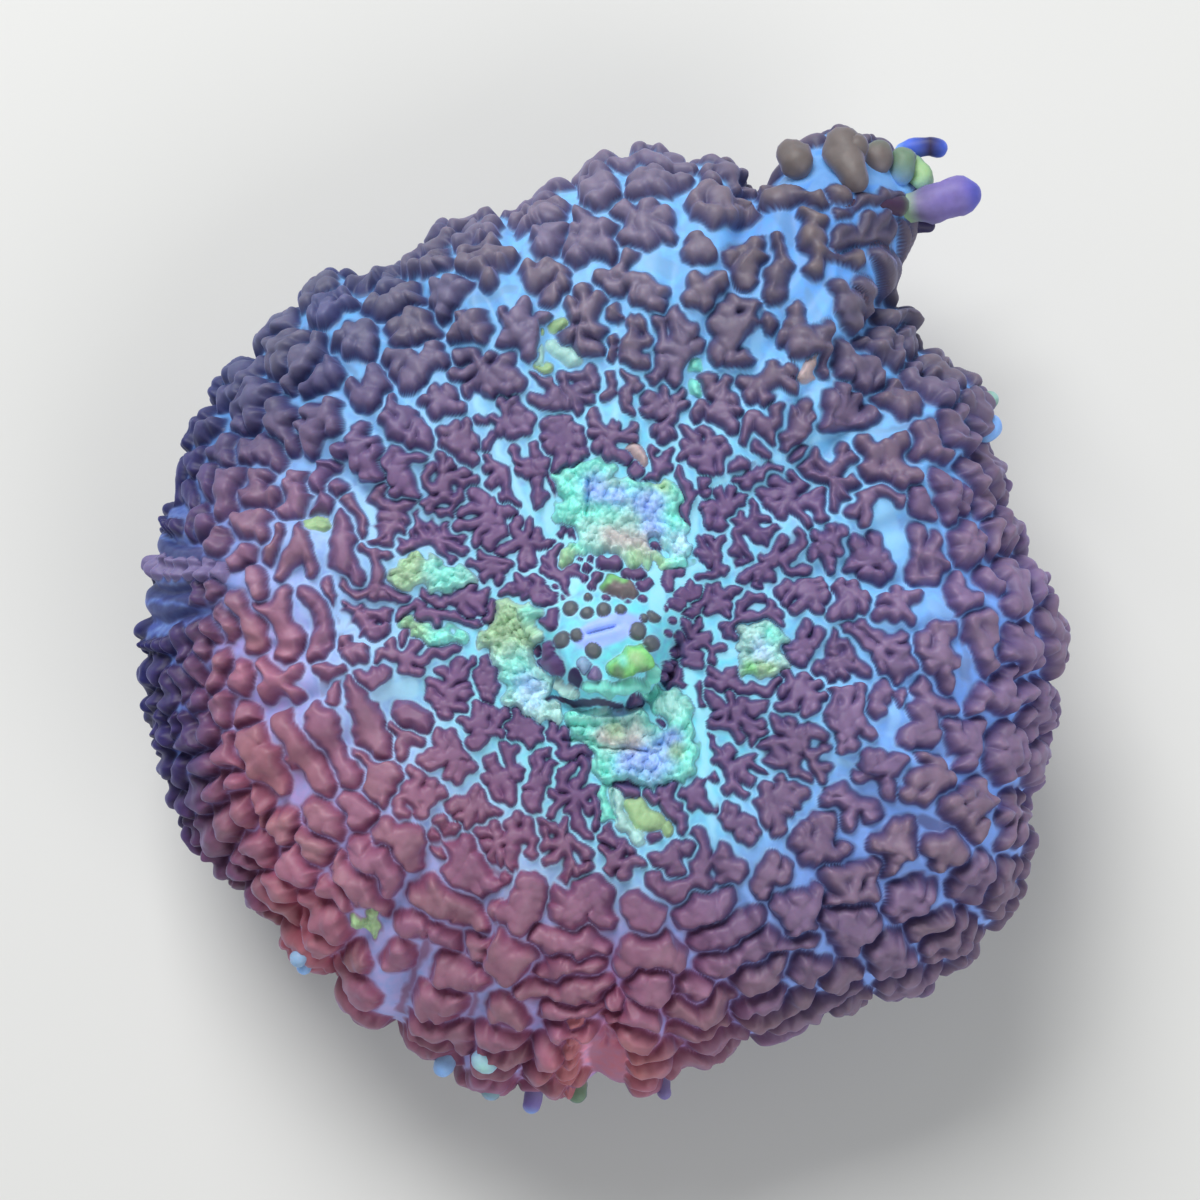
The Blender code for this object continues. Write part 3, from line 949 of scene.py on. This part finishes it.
# %% Mouth cone
CONE_RISE = 3.2
SLIT_CENTRE, SLIT_TURN, SLIT_DEPTH = (-0.2, -0.80), math.radians(15), 0.55
LIPS_CENTRE, LIPS_TURN, LIPS_HALF, LIP_RISE = (0.3, -0.85), math.radians(20), (3.4, 1.45), 0.12
MOAT_OUT, MOAT_WIDTH, MOAT_DEPTH = 1.22, 0.09, 1.2


def seen_from(centre, turn):
    """The map's points measured from a centre, along a heading and across it."""
    x, y = map_x - centre[0], map_y - centre[1]
    return x * math.cos(turn) + y * math.sin(turn), y * math.cos(turn) - x * math.sin(turn)


cone_x, cone_y = map_x - CONE_CENTRE[0], map_y - CONE_CENTRE[1]
cone_out = np.hypot(cone_x / CONE_HALF[0], cone_y / CONE_HALF[1])
behind = smooth_step(-0.1, 0.7, cone_y / np.maximum(np.hypot(map_x, cone_y), 0.1))
cone = CONE_RISE * (1 - smooth_step(0.70 - 0.30 * behind, 1.18 + 1.3 * behind, cone_out))
cone = cone + 0.7 * np.clip(1 - cone_out**2, 0, 1)
slit_x, slit_y = seen_from(SLIT_CENTRE, SLIT_TURN)
slit = np.exp(-((slit_y / 0.10) ** 2)) * (1 - smooth_step(0.9, 1.4, np.abs(slit_x)))
lip = np.exp(-(((np.abs(slit_y) - 0.5) / 0.34) ** 2)) * (1 - smooth_step(1.2, 2.4, np.abs(slit_x)))
lips_x, lips_y = seen_from(LIPS_CENTRE, LIPS_TURN)
lips = 1 - smooth_step(0.70, 1.02, np.hypot(lips_x / LIPS_HALF[0], lips_y / LIPS_HALF[1]))
moat = np.exp(-(((cone_out - MOAT_OUT) / MOAT_WIDTH) ** 2)) * smooth_step(1.0, 4.0, -map_y + 0.4 * map_x)
cone = cone - SLIT_DEPTH * slit + LIP_RISE * lip - MOAT_DEPTH * moat
print(f"the mouth cone stands {cone.max():.1f} mm over the disc")

# %% [markdown]
# ### Folds
#
# Between the rows of the outer disc the skin sinks into furrows that run out to the margin. Each
# is a high power of a cosine: narrow at its floor, and level in between.

# %% Folds between the rows
heading = np.degrees(angle) + 1.5 * ripple(map_x, map_y, 14.0, 0.9)
folds = np.zeros(map_x.shape)
for near, far, start, end, count, step, flatness in ROWS[2:]:
    turn = (heading - start) % 360
    inside = smooth_step(0, 3, turn) * (1 - smooth_step(end - start - 3, end - start, turn))
    inside = inside * smooth_step(near - 3, near + 3, along) * (1 - smooth_step(far - 1, far + 2, along))
    furrow = np.abs(np.cos(math.pi * turn / (end - start) * count)) ** 4
    folds = np.maximum(folds, inside * furrow * (1.0 if flatness < 0.5 else 0.7))
print(f"the folds are up to {folds.max():.1f} mm deep")

# %% [markdown]
# ### Putting the relief on the skin
#
# Slow swells lift and lower the disc. The growths are then raised along the skin's normals. The
# normals are first softened, by taking their mean over the cells round each point, so that those
# of a hollow don't cross and those on the sharp margin fan out evenly.

# %% The relief on the skin
SOFT_REACH = 9  # cells to each side
bare = skin(along, angle)
swell = 0.5 * np.cos(13 * angle + 1.2 * ripple(map_x, map_y, 26.0, 0.5))
swell = swell + 0.25 * ripple(map_x, map_y, 17.0, 2.2)
swell = swell * smooth_step(9, 22, along) * (1 - smooth_step(RIM - 4, RIM + 2, along))
bare[..., 2] += cone + swell


def normals_of(points):
    """Unit normals of a grid of points: the cross product of its slopes along both ways."""
    normal = np.cross(np.gradient(points, axis=0), np.gradient(points, axis=1))
    return normal / np.linalg.norm(normal, axis=-1, keepdims=True)


def softened(field, reach):
    """The field's running mean over a square of that many cells to each side."""
    width = 2 * reach + 1
    for axis in (0, 1):
        padding = [(reach + 1, reach) if k == axis else (0, 0) for k in range(field.ndim)]
        total = np.cumsum(np.pad(field, padding, mode="edge"), axis=axis)
        size = field.shape[axis]
        field = np.take(total, range(width, size + width), axis) - np.take(total, range(size), axis)
        field = field / width
    return field


lift_way = softened(normals_of(bare), SOFT_REACH)
lift_way /= np.linalg.norm(lift_way, axis=-1, keepdims=True)
surface = bare + (rise - folds * (1 - smooth_step(TOP_END - 2, TOP_END, along)))[..., None] * lift_way
surface_normals = normals_of(surface)
print("the disc's skin is worked out")

# %% [markdown]
# ### Zones of colour
#
# The disc is not of one colour. A few places have a colour each for the tops of the tubercles,
# for their walls, which is darker as painted shade, and for the skin between, and every other point
# blends them by how near they are.

# %% Zones
ZONES = (  # x, y, reach, and the colours of tops, walls and skin
    (0, 0, 15, (98, 74, 116), (78, 62, 112), (106, 226, 232)),
    (16, 8, 12, (104, 82, 126), (76, 62, 112), (122, 198, 242)),
    (-15, 8, 12, (118, 90, 130), (88, 68, 118), (150, 200, 240)),
    (33, -2, 14, (120, 100, 138), (80, 66, 118), (116, 166, 250)),
    (22, 30, 13, (96, 90, 110), (56, 58, 100), (112, 180, 246)),
    (0, 34, 13, (110, 102, 128), (78, 74, 114), (124, 192, 248)),
    (-24, 27, 13, (72, 80, 118), (40, 48, 98), (98, 168, 228)),
    # The rows at (-47, 5), (-44, -14), (-38.5, 3) and (-38, -12) make the left margin dark navy: partly its
    # own colour, partly painted shade on the down-curled margin.
    (-47, 5, 16, (0, 22, 92), (0, 12, 70), (22, 52, 138)),
    (-44, -14, 11, (2, 26, 94), (2, 10, 68), (30, 56, 138)),
    (-30, -26, 6, (164, 94, 110), (180, 72, 84), (196, 118, 140)),
    (-29.5, -3, 3.8, (162, 104, 126), (138, 78, 106), (178, 152, 214)),
    (-29.5, -13, 4, (160, 98, 118), (142, 70, 94), (184, 140, 190)),
    (-38.5, 3, 4.4, (12, 28, 90), (4, 12, 66), (34, 64, 142)),
    (-38, -12, 4.4, (18, 28, 90), (6, 12, 66), (38, 60, 138)),
    (-33.5, -24, 3.6, (70, 54, 96), (54, 34, 76), (90, 84, 150)),
    (21, 36, 8, (88, 80, 94), (46, 44, 86), (30, 112, 216)),
    (-28, 4, 8, (164, 118, 142), (118, 84, 122), (168, 178, 246)),
    (-26, -16, 11, (150, 102, 126), (140, 78, 108), (168, 162, 224)),
    (-14, -26, 10, (134, 90, 118), (130, 66, 98), (160, 156, 208)),
    (2, -36, 9, (140, 90, 122), (120, 54, 84), (168, 130, 190)),
    (0.2, 6.5 - RIM, 3.4, (184, 106, 110), (158, 80, 90), (236, 130, 138)),
    (25, -26, 14, (110, 90, 122), (70, 56, 98), (126, 160, 232)),
)
zone_weight = np.full(map_x.shape, 1e-9)
zone_tops, zone_walls, zone_skins = np.zeros((3, *map_x.shape, 3))
for x, y, reach, top_colour, wall_colour, between_colour in ZONES:
    weight = max(1, (6 / reach) ** 2) * np.exp(-((map_x - x) ** 2 + (map_y - y) ** 2) / reach**2) + 1e-6
    zone_weight += weight
    zone_tops += weight[..., None] * linear(*top_colour)
    zone_walls += weight[..., None] * linear(*wall_colour)
    zone_skins += weight[..., None] * linear(*between_colour)
zone_tops, zone_walls, zone_skins = (c / zone_weight[..., None] for c in (zone_tops, zone_walls, zone_skins))
print(len(ZONES), "zones")

# %% [markdown]
# The tops of the tubercles get lighter outwards, and browner, each by its own tint. A line of pale
# skin runs round each tubercle, partly its own colour and partly a painted highlight at the
# tubercle's foot. Towards the margin and at the front it gives way to painted crevice shade, as
# dark as the walls. Under the margin a hem fades to the underside's colour.

# %% Tubercle tops, lines and the hem
BROWN = linear(66, 56, 30)
# the pale line: partly the skin's own colour, partly a painted highlight round each tubercle's foot
PALE_LINE_AND_HIGHLIGHT = linear(162, 208, 224)
HEM_COLOUR = linear(84, 92, 148)
HEM_START, HEM_END = 2.4, 0.2  # millimetres before the end of the skin with tubercles
brown = np.clip(tints, 0, 1) * smooth_step(12, 30, along) * (0.2 + 0.8 * smooth_step(-40, -27, map_x))
brown = brown[..., None]
light = outwards("light", along) * (0.94 + 0.12 * (tints * 7.7 % 1))
zone_tops = light[..., None] * (zone_tops * (1.10 - 0.26 * brown) + brown * BROWN)
# painted shade in the crevices between touching pads, towards the margin and at the front
painted_crevice_shade = np.maximum(
    smooth_step(24, 36, along) * smooth_step(-30, 0, 20 - map_y),
    smooth_step(20, 28, along) * smooth_step(8, 18, -map_y),
)[..., None]
pale = 0.35 + 0.35 * (1 - smooth_step(12, 30, along))[..., None]
zone_lines_highlight_and_shade = (pale * PALE_LINE_AND_HIGHLIGHT + (1 - pale) * zone_skins) * (1 - painted_crevice_shade) + zone_walls * 0.8 * painted_crevice_shade
hem = smooth_step(TOP_END - HEM_START, TOP_END - HEM_END, along)[..., None]
zone_tops, zone_walls, zone_skins, zone_lines_highlight_and_shade = (
    c * (1 - hem) + hem * HEM_COLOUR for c in (zone_tops, zone_walls, zone_skins, zone_lines_highlight_and_shade)
)
print(f"the hem starts {TOP_END - HEM_START - RIM:.1f} mm past the margin's widest line")

# %% [markdown]
# ### Meshes from the grid
#
# The disc has about 900,000 triangles, so it is cut into nine sheets that share their edges. Each
# gets the normals of the whole grid, so that no seam shows. The relief's own numbers go along as
# attributes, for the material to read.

# %% Sheets
SHEETS = 3


def grid_mesh(name, points, closed=False):
    """A mesh object from a grid of points in millimetres, rows by columns, one face a cell. A
    closed grid joins its last column to its first."""
    rows, columns = points.shape[:2]
    index = np.arange(rows * columns).reshape(rows, columns)
    if closed:
        index = np.concatenate([index, index[:, :1]], axis=1)
    faces = np.stack([index[:-1, :-1], index[1:, :-1], index[1:, 1:], index[:-1, 1:]], axis=-1)
    mesh = bpy.data.meshes.new(name)
    mesh.from_pydata(np.reshape(points * MM, (-1, 3)), [], faces.reshape(-1, 4).tolist())
    mesh.shade_smooth()
    piece = bpy.data.objects.new(name, mesh)
    bpy.context.scene.collection.objects.link(piece)
    return piece


def give(piece, **values):
    """Stores one number a vertex under each name, for the material to read."""
    for name, value in values.items():
        attribute = piece.data.attributes.new(name, "FLOAT", "POINT")
        attribute.data.foreach_set("value", np.ravel(value).astype(np.float32))


def paint_on(piece, **colours):
    """Stores one colour a vertex under each name."""
    for name, rgb in colours.items():
        attribute = piece.data.attributes.new(name, "FLOAT_COLOR", "POINT")
        rgba = np.concatenate([np.reshape(rgb, (-1, 3)), np.ones((rgb.size // 3, 1))], axis=-1)
        attribute.data.foreach_set("color", rgba.astype(np.float32).ravel())


stained = np.clip((depth + 0.10) / 0.14, 0, 1) * (stains > 0)
stain_rgb = np.array(list(STAINS.values()))[stains]
spot_weight, spot_rgb = np.zeros(map_x.shape), np.zeros((*map_x.shape, 3))
for name, *spot in SPOTS:
    px, py, _, _, radius = stroke(*spot)
    weight = 5 * np.exp(-((bent_x - px) ** 2 + (bent_y - py) ** 2) / radius**2)
    spot_weight += weight
    spot_rgb += weight[..., None] * STAINS[name]
patch_rgb = (stain_rgb + spot_rgb) / (1 + spot_weight[..., None])
speckle = np.clip(1.5 * grains, 0, 1)[..., None]
patch_rgb = patch_rgb * (1 + speckle * (0.50 * shade[..., None] - 0.15))
patch_rgb = patch_rgb + 0.10 * speckle * (small_shade[..., None] - 0.4)
stain_rgb = np.where((grains > 0.12)[..., None], np.clip(patch_rgb, 0.01, 1), stain_rgb)
stain_rgb = np.where((lips > stained)[..., None], STAINS["lavender"], stain_rgb)
stained = np.maximum(stained, lips)
flesh = np.clip((depth + 0.11) / outwards("colour_ramp", along), 0, 1) * (tints >= 0) * fade
# how high up its tubercle a point stands; this sets the painted shade: darker walls, lighter tops
crest = np.clip(rise / np.maximum(heights, 0.3), 0, 1) ** 1.5
outside = np.clip(-depth / 0.7, 0, 1)
cuts = np.linspace(0, CELLS, SHEETS + 1).astype(int)
disc_sheets = []
for i, (top, bottom) in enumerate(zip(cuts, cuts[1:])):
    for j, (left, right) in enumerate(zip(cuts, cuts[1:])):
        view = (slice(top, bottom + 1), slice(left, right + 1))
        piece = grid_mesh(f"disc_{i}_{j}", surface[view])
        piece.data.normals_split_custom_set_from_vertices(surface_normals[view].reshape(-1, 3).tolist())
        give(piece, flesh=flesh[view], crest=crest[view], outside=outside[view], stained=stained[view])
        paint_on(
            piece, stain=stain_rgb[view], top=zone_tops[view], wall=zone_walls[view],
            skin=zone_skins[view], line=zone_lines_highlight_and_shade[view],
        )
        disc_sheets.append(piece)
print(len(disc_sheets), "sheets of", len(disc_sheets[0].data.polygons), "cells")

# %% [markdown]
# ## The underside, the column and the foot
#
# Below the margin the skin has no tubercles. It is a plain turned surface with fine ridges that
# run from the margin down the column, and a flat cut below the foot.

# %% Underside and column
UNDER_ROWS, FOOT_ROWS = 50, 6
RIDGE_WAVES = ((84, 0.0, 0.5), (42, 1.3, 0.3))  # ridges round, start, share of the height
RIDGE_HEIGHT = 0.28
ways = np.linspace(0, 2 * math.pi, CELLS + 1)[:-1]
under_along, under_angle = np.meshgrid(np.linspace(TOP_END, walk[-1], UNDER_ROWS), ways, indexing="ij")
under = skin(under_along, under_angle)
share_down = (under_along - TOP_END) / (walk[-1] - TOP_END)
ridges = sum(share * np.cos(count * under_angle + start) for count, start, share in RIDGE_WAVES)
calm = smooth_step(0, 0.08, share_down) * (1 - smooth_step(0.90, 1.0, share_down))
under = under + (RIDGE_HEIGHT * ridges * calm)[..., None] * normals_of(under)
shrink = np.linspace(1, 0.002, FOOT_ROWS)[1:, None, None]
foot = under[-1] * np.concatenate([shrink, shrink, 0 * shrink], axis=-1)
underside = grid_mesh("underside_and_column", np.concatenate([under, foot]), closed=True)
print("underside and column:", len(underside.data.polygons), "cells")

# %% [markdown]
# ## Tips that stand off the margin
#
# Twenty tips stand too far out for the relief. Each is a round tube swept along a bent line that
# ends in two half balls, and its inner end is buried in the disc. Ten make up the end of the long
# lobe: its finger with the dark band at its root, its knobs, yellow-green edge and blue tip. The
# other ten are small fingers of the margin, which run straight out from their places on it.

# %% Tips
TIPS = {  # x, y, z and half width along the line, and the stains from its root to its end
    "lobe_finger": (
        ((24.9, 35.9, 22.6, 1.1), (27.1, 36.2, 23.8, 1.35), (29.1, 36.4, 24.6, 1.65),
         (31.1, 37.0, 24.9, 1.7), (33.1, 37.3, 24.8, 1.4)),
        "dark dark yellow yellow rib lilac lilac violet violet violet",
    ),
    "lobe_collar": (
        ((26.0, 40.7, 21.8, 1.1), (27.2, 40.2, 22.7, 1.2), (28.1, 39.1, 23.4, 1.1),
         (28.3, 37.8, 23.8, 0.9)),
        "moss yellow yellow cream",
    ),
    "lobe_tip": (
        ((26.0, 41.5, 21.8, 0.8), (27.4, 42.0, 22.6, 0.9), (29.0, 42.1, 22.8, 0.85),
         (30.5, 41.9, 22.6, 0.95)),
        "blue blue azure ink azure azure",
    ),
    "lobe_flap": (
        ((25.4, 35.2, 21.8, 0.7), (27.2, 35.2, 22.0, 0.75), (29.4, 35.1, 21.8, 0.6)),
        "dark ink ink",
    ),
    "lobe_knob_1": (
        ((17.2, 37.9, 27.4, 1.0), (16.9, 39.2, 26.9, 1.45), (16.6, 40.4, 26.1, 1.55),
         (16.8, 41.3, 25.2, 1.2)),
        "bark brown brown bark",
    ),
    "lobe_knob_2": (
        ((22.3, 36.4, 28.4, 1.0), (21.8, 37.6, 28.2, 1.25), (21.2, 39.2, 27.6, 1.6),
         (20.8, 40.8, 26.6, 1.8), (20.7, 42.3, 25.2, 1.45)),
        "bark brown brown bark",
    ),
    "lobe_knob_3": (
        ((21.0, 40.8, 27.2, 1.2), (22.0, 40.5, 27.5, 1.35), (22.9, 40.1, 27.2, 1.15)),
        "brown brown bark",
    ),
    "lobe_knob_4": (
        ((23.8, 38.9, 24.8, 1.1), (24.2, 40.4, 24.9, 1.2), (24.3, 42.0, 24.3, 1.15)),
        "bark brown moss",
    ),
    "lobe_knob_5": (
        ((25.9, 38.2, 23.8, 1.0), (26.3, 39.7, 24.2, 1.2), (26.4, 41.6, 23.8, 1.2)),
        "blue moss moss",
    ),
    "lobe_edge": (
        ((17.6, 34.2, 27.6, 0.8), (21.0, 35.0, 27.8, 0.9), (24.2, 35.8, 26.2, 0.9),
         (26.6, 36.2, 24.4, 1.0)),
        "bark dusk dark dark yellow",
    ),
}
MARGIN_TIPS = (  # direction, distance from the margin's edge, length, half width, rise, stains
    (227.6, -3.6, 1.6, 0.75, 0.5, "rib frost frost"),
    (228.8, -1.6, 1.2, 0.65, 0.2, "rib frost blue"),
    (250.0, -2.4, 1.4, 0.95, 0.5, "rib frost blue"),
    (254.8, -6.8, 1.3, 1.1, 1.3, "peach frost cream"),
    (256.4, -1.8, 1.2, 0.95, 0.4, "rib moss frost"),
    (261.5, 0.0, 1.6, 0.8, 0.1, "moss rib lilac blue"),
    (266.8, -0.4, 1.2, 0.85, 0.1, "peach moss moss"),
    (277.4, -0.4, 1.4, 0.65, 0.1, "rib rib lilac"),
    (27.0, -2.4, 1.5, 1.15, 0.5, "cream blue blue"),
    (30.0, -1.8, 1.0, 0.8, 0.4, "bark moss cream"),
)


def margin_tip(direction, beyond, length, width, rise):
    """The line of a tip whose root is on the skin at the margin: it runs straight out, and rises
    by that many millimetres for each millimetre it goes out."""
    turn = math.radians(direction)
    root = skin(RIM + beyond, turn)
    out = np.array((math.cos(turn), math.sin(turn), rise)) / math.hypot(1, rise)
    return [(*(root + reach * out), width) for reach in (-0.8, 0.3 * length, 0.8 * length, length + 0.4)]


for number, (*numbers, colours) in enumerate(MARGIN_TIPS):
    TIPS[f"margin_tip_{number + 1}"] = margin_tip(*numbers), colours
print(len(TIPS), "tips")

# %% Tubes along the lines
TIP_RINGS, TIP_SIDES = 24, 20


def swept(line):
    """A closed tube along a line of points and half widths, with a circle square to it at each
    ring. Within a half width w of an end, at a distance d from it, the radius is the square root
    of d(2w - d)."""
    points, widths = np.array(line)[:, :3], np.array(line)[:, 3]
    reached = np.concatenate([[0], np.cumsum(np.linalg.norm(np.diff(points, axis=0), axis=-1))])
    share = 0.5 - 0.5 * np.cos(np.linspace(0, math.pi, TIP_RINGS))
    at = share * reached[-1]
    spine = np.stack([np.interp(at, reached, axis) for axis in points.T], axis=-1)
    radius = np.interp(at, reached, widths)
    heading = np.gradient(spine, axis=0)
    heading /= np.linalg.norm(heading, axis=-1, keepdims=True)
    sideways = np.cross(heading, (0, 0, 1.0))
    sideways /= np.linalg.norm(sideways, axis=-1, keepdims=True)
    upward = np.cross(sideways, heading)
    left = np.clip(np.minimum(at, reached[-1] - at) / radius, 0.001, 1)
    radius = radius * np.sqrt(left * (2 - left))
    turn = np.linspace(0, 2 * math.pi, TIP_SIDES + 1)[:-1]
    cosines, sines = np.cos(turn), np.sin(turn)
    round_about = cosines[None, :, None] * sideways[:, None] + sines[None, :, None] * upward[:, None]
    x, y = spine[:, None, 0], spine[:, None, 1]
    lumps = 1 + 0.08 * ripple(x + turn, y + 2 * sines, 3.0, 0.4)
    lumps += 0.04 * ripple(x + 2 * cosines, y + 2 * sines, 1.3, 1.1)
    return spine[:, None] + (radius[:, None] * lumps)[..., None] * round_about


tips = []
for name, (line, colours) in TIPS.items():
    tube = swept(line)
    caps = [np.broadcast_to(end.mean(axis=0), (1, *end.shape)) for end in (tube[0], tube[-1])]
    tube = np.concatenate([caps[0], tube, caps[1]])
    piece = grid_mesh(name, tube, closed=True)
    stops = np.array([STAINS[colour] for colour in colours.split()])
    share = np.repeat(np.linspace(0, len(stops) - 1, len(tube)), TIP_SIDES)
    rgb = np.stack([np.interp(share, range(len(stops)), stops[:, k]) for k in range(3)], axis=-1)
    ones = np.ones(len(share))
    give(piece, flesh=ones, crest=ones, outside=0 * ones, stained=ones)
    paint_on(piece, stain=rgb, top=rgb, wall=rgb, skin=rgb, line=rgb)
    tips.append(piece)
print(len(tips), "tips of", len(tips[0].data.polygons), "cells")

# %% [markdown]
# ## The flesh
#
# The skin is a pale glowing blue, and dusky where it lies open. The tubercles are wine-coloured
# near the mouth and browner outwards. The material blends the colours and shares that were
# stored on the sheets, and two noises mottle them.


# %% A socket that does sums
class Socket:
    """An output of a node. Sums on it add the Math nodes that work them out."""

    def __init__(self, tree, link):
        self.tree, self.link = tree, link

    def node(self, kind, settings=None, inputs=None, output=0):
        """Adds a node: its settings first, then the values or links of its sockets."""
        made = self.tree.nodes.new(kind)
        for name, value in (settings or {}).items():
            setattr(made, name, value)
        for name, value in (inputs or {}).items():
            if isinstance(value, Socket):
                self.tree.links.new(value.link, made.inputs[name])
            else:
                made.inputs[name].default_value = value
        return Socket(self.tree, made.outputs[output])

    def sum(self, operation, *values, clamp=False):
        inputs = dict(enumerate(values))
        return self.node("ShaderNodeMath", {"operation": operation, "use_clamp": clamp}, inputs)

    def __add__(self, other):
        return self.sum("ADD", self, other)

    def __sub__(self, other):
        return self.sum("SUBTRACT", self, other)

    def __rsub__(self, other):
        return self.sum("SUBTRACT", other, self)

    def __mul__(self, other):
        return self.sum("MULTIPLY", self, other)

    __radd__, __rmul__ = __add__, __mul__

    def held(self):
        """The value kept between 0 and 1."""
        return self.sum("MULTIPLY", self, 1.0, clamp=True)

    def mixed(self, under_colour, over_colour):
        """The first colour where this is 0, and the second where it is 1."""
        under_colour, over_colour = (
            (*c, 1) if isinstance(c, tuple) else c for c in (under_colour, over_colour)
        )
        inputs = {0: self, 6: under_colour, 7: over_colour}
        return self.node("ShaderNodeMix", {"data_type": "RGBA"}, inputs, 2)

    def scaled(self, factor):
        """A colour times a number."""
        return self.node("ShaderNodeVectorMath", {"operation": "SCALE"}, {0: self, "Scale": factor})

    def noise(self, scale, detail):
        """A noise that is fixed to the piece, of that many cells a metre."""
        place = self.node("ShaderNodeTexCoord", output=3)
        return self.node("ShaderNodeTexNoise", {}, {"Vector": place, "Scale": scale, "Detail": detail})

    def attribute(self, name, output=2):
        """A number stored on the sheets, or with output 0 a colour."""
        return self.node("ShaderNodeAttribute", {"attribute_name": name}, output=output)


def new_material(name):
    """A material, a Socket to start sums from, and its Principled shader."""
    material = bpy.data.materials.new(name)
    material.use_nodes = True
    node_tree = material.node_tree
    return material, Socket(node_tree, None), node_tree.nodes["Principled BSDF"]


# %% Flesh material
SKIN_DUSK = linear(100, 130, 180)
FLESH_CONSTANTS = {
    "Emission Strength": 0.28,
    "Sheen Weight": 0.35,
    "Sheen Roughness": 0.4,
    "Sheen Tint": (0.45, 0.50, 1.0, 1),
    "Roughness": 0.52,
    "Specular IOR Level": 0.36,
    "Subsurface Weight": 0.10,
    "Subsurface Scale": 0.0006,
}
BLOTCH_SHIFT = {"Hue": 0.515, "Saturation": 0.92, "Value": 1.25}
flesh_material, start, shader = new_material("coral_flesh")
flesh_share, crest_share, outside_share, stained_share = (
    start.attribute(name) for name in ("flesh", "crest", "outside", "stained")
)
top_colour, wall_colour, skin_colour, line_highlight_and_shade_colour, stain_colour = (
    start.attribute(name, 0) for name in ("top", "wall", "skin", "line", "stain")
)
mottle, blotch = start.noise(900.0, 3.0), start.noise(420.0, 2.0)
shifted = start.node("ShaderNodeHueSaturation", {}, {**BLOTCH_SHIFT, "Color": top_colour})
top_colour = (blotch * 2.4 - 0.9).held().mixed(top_colour, shifted)
# painted shade: by height, the walls take the darker wall colour and the tops the lighter top colour
body = crest_share.mixed(wall_colour, top_colour)
skin_colour = (mottle * 1.8 - 0.6).held().mixed(skin_colour, SKIN_DUSK)
# near each tubercle's foot: the pale line, partly painted highlight, or the painted crevice shade
skin_colour = ((1 - outside_share * 2.0).held() * 0.7).mixed(skin_colour, line_highlight_and_shade_colour)
colour = flesh_share.mixed(skin_colour, body)
colour = (stained_share * 0.9).mixed(colour, stain_colour).scaled(mottle * 0.5 + 0.75)
glow = colour.scaled(((1 - flesh_share) * 0.9 + stained_share * 0.3).held())
bump = start.node("ShaderNodeBump", {}, {"Strength": 0.25, "Distance": 0.0001, "Height": mottle})
for name, value in FLESH_CONSTANTS.items():
    shader.inputs[name].default_value = value
for name, socket in (("Base Color", colour), ("Emission Color", glow), ("Normal", bump)):
    flesh_material.node_tree.links.new(socket.link, shader.inputs[name])
print("the flesh has", len(flesh_material.node_tree.nodes), "nodes")

# %% Underside material
under_material, start, shader = new_material("coral_underside")
under_colour = start.noise(220.0, 4.0).mixed(linear(62, 70, 130), linear(120, 128, 180))
under_material.node_tree.links.new(under_colour.link, shader.inputs["Base Color"])
shader.inputs["Roughness"].default_value = 0.5
print("the underside has", len(under_material.node_tree.nodes), "nodes")

# %% Finish the pieces
for piece in (*disc_sheets, *tips):
    piece.data.materials.append(flesh_material)
underside.data.materials.append(under_material)
for piece in (*disc_sheets, *tips, underside):
    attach(piece, "root")
    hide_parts("polyp")
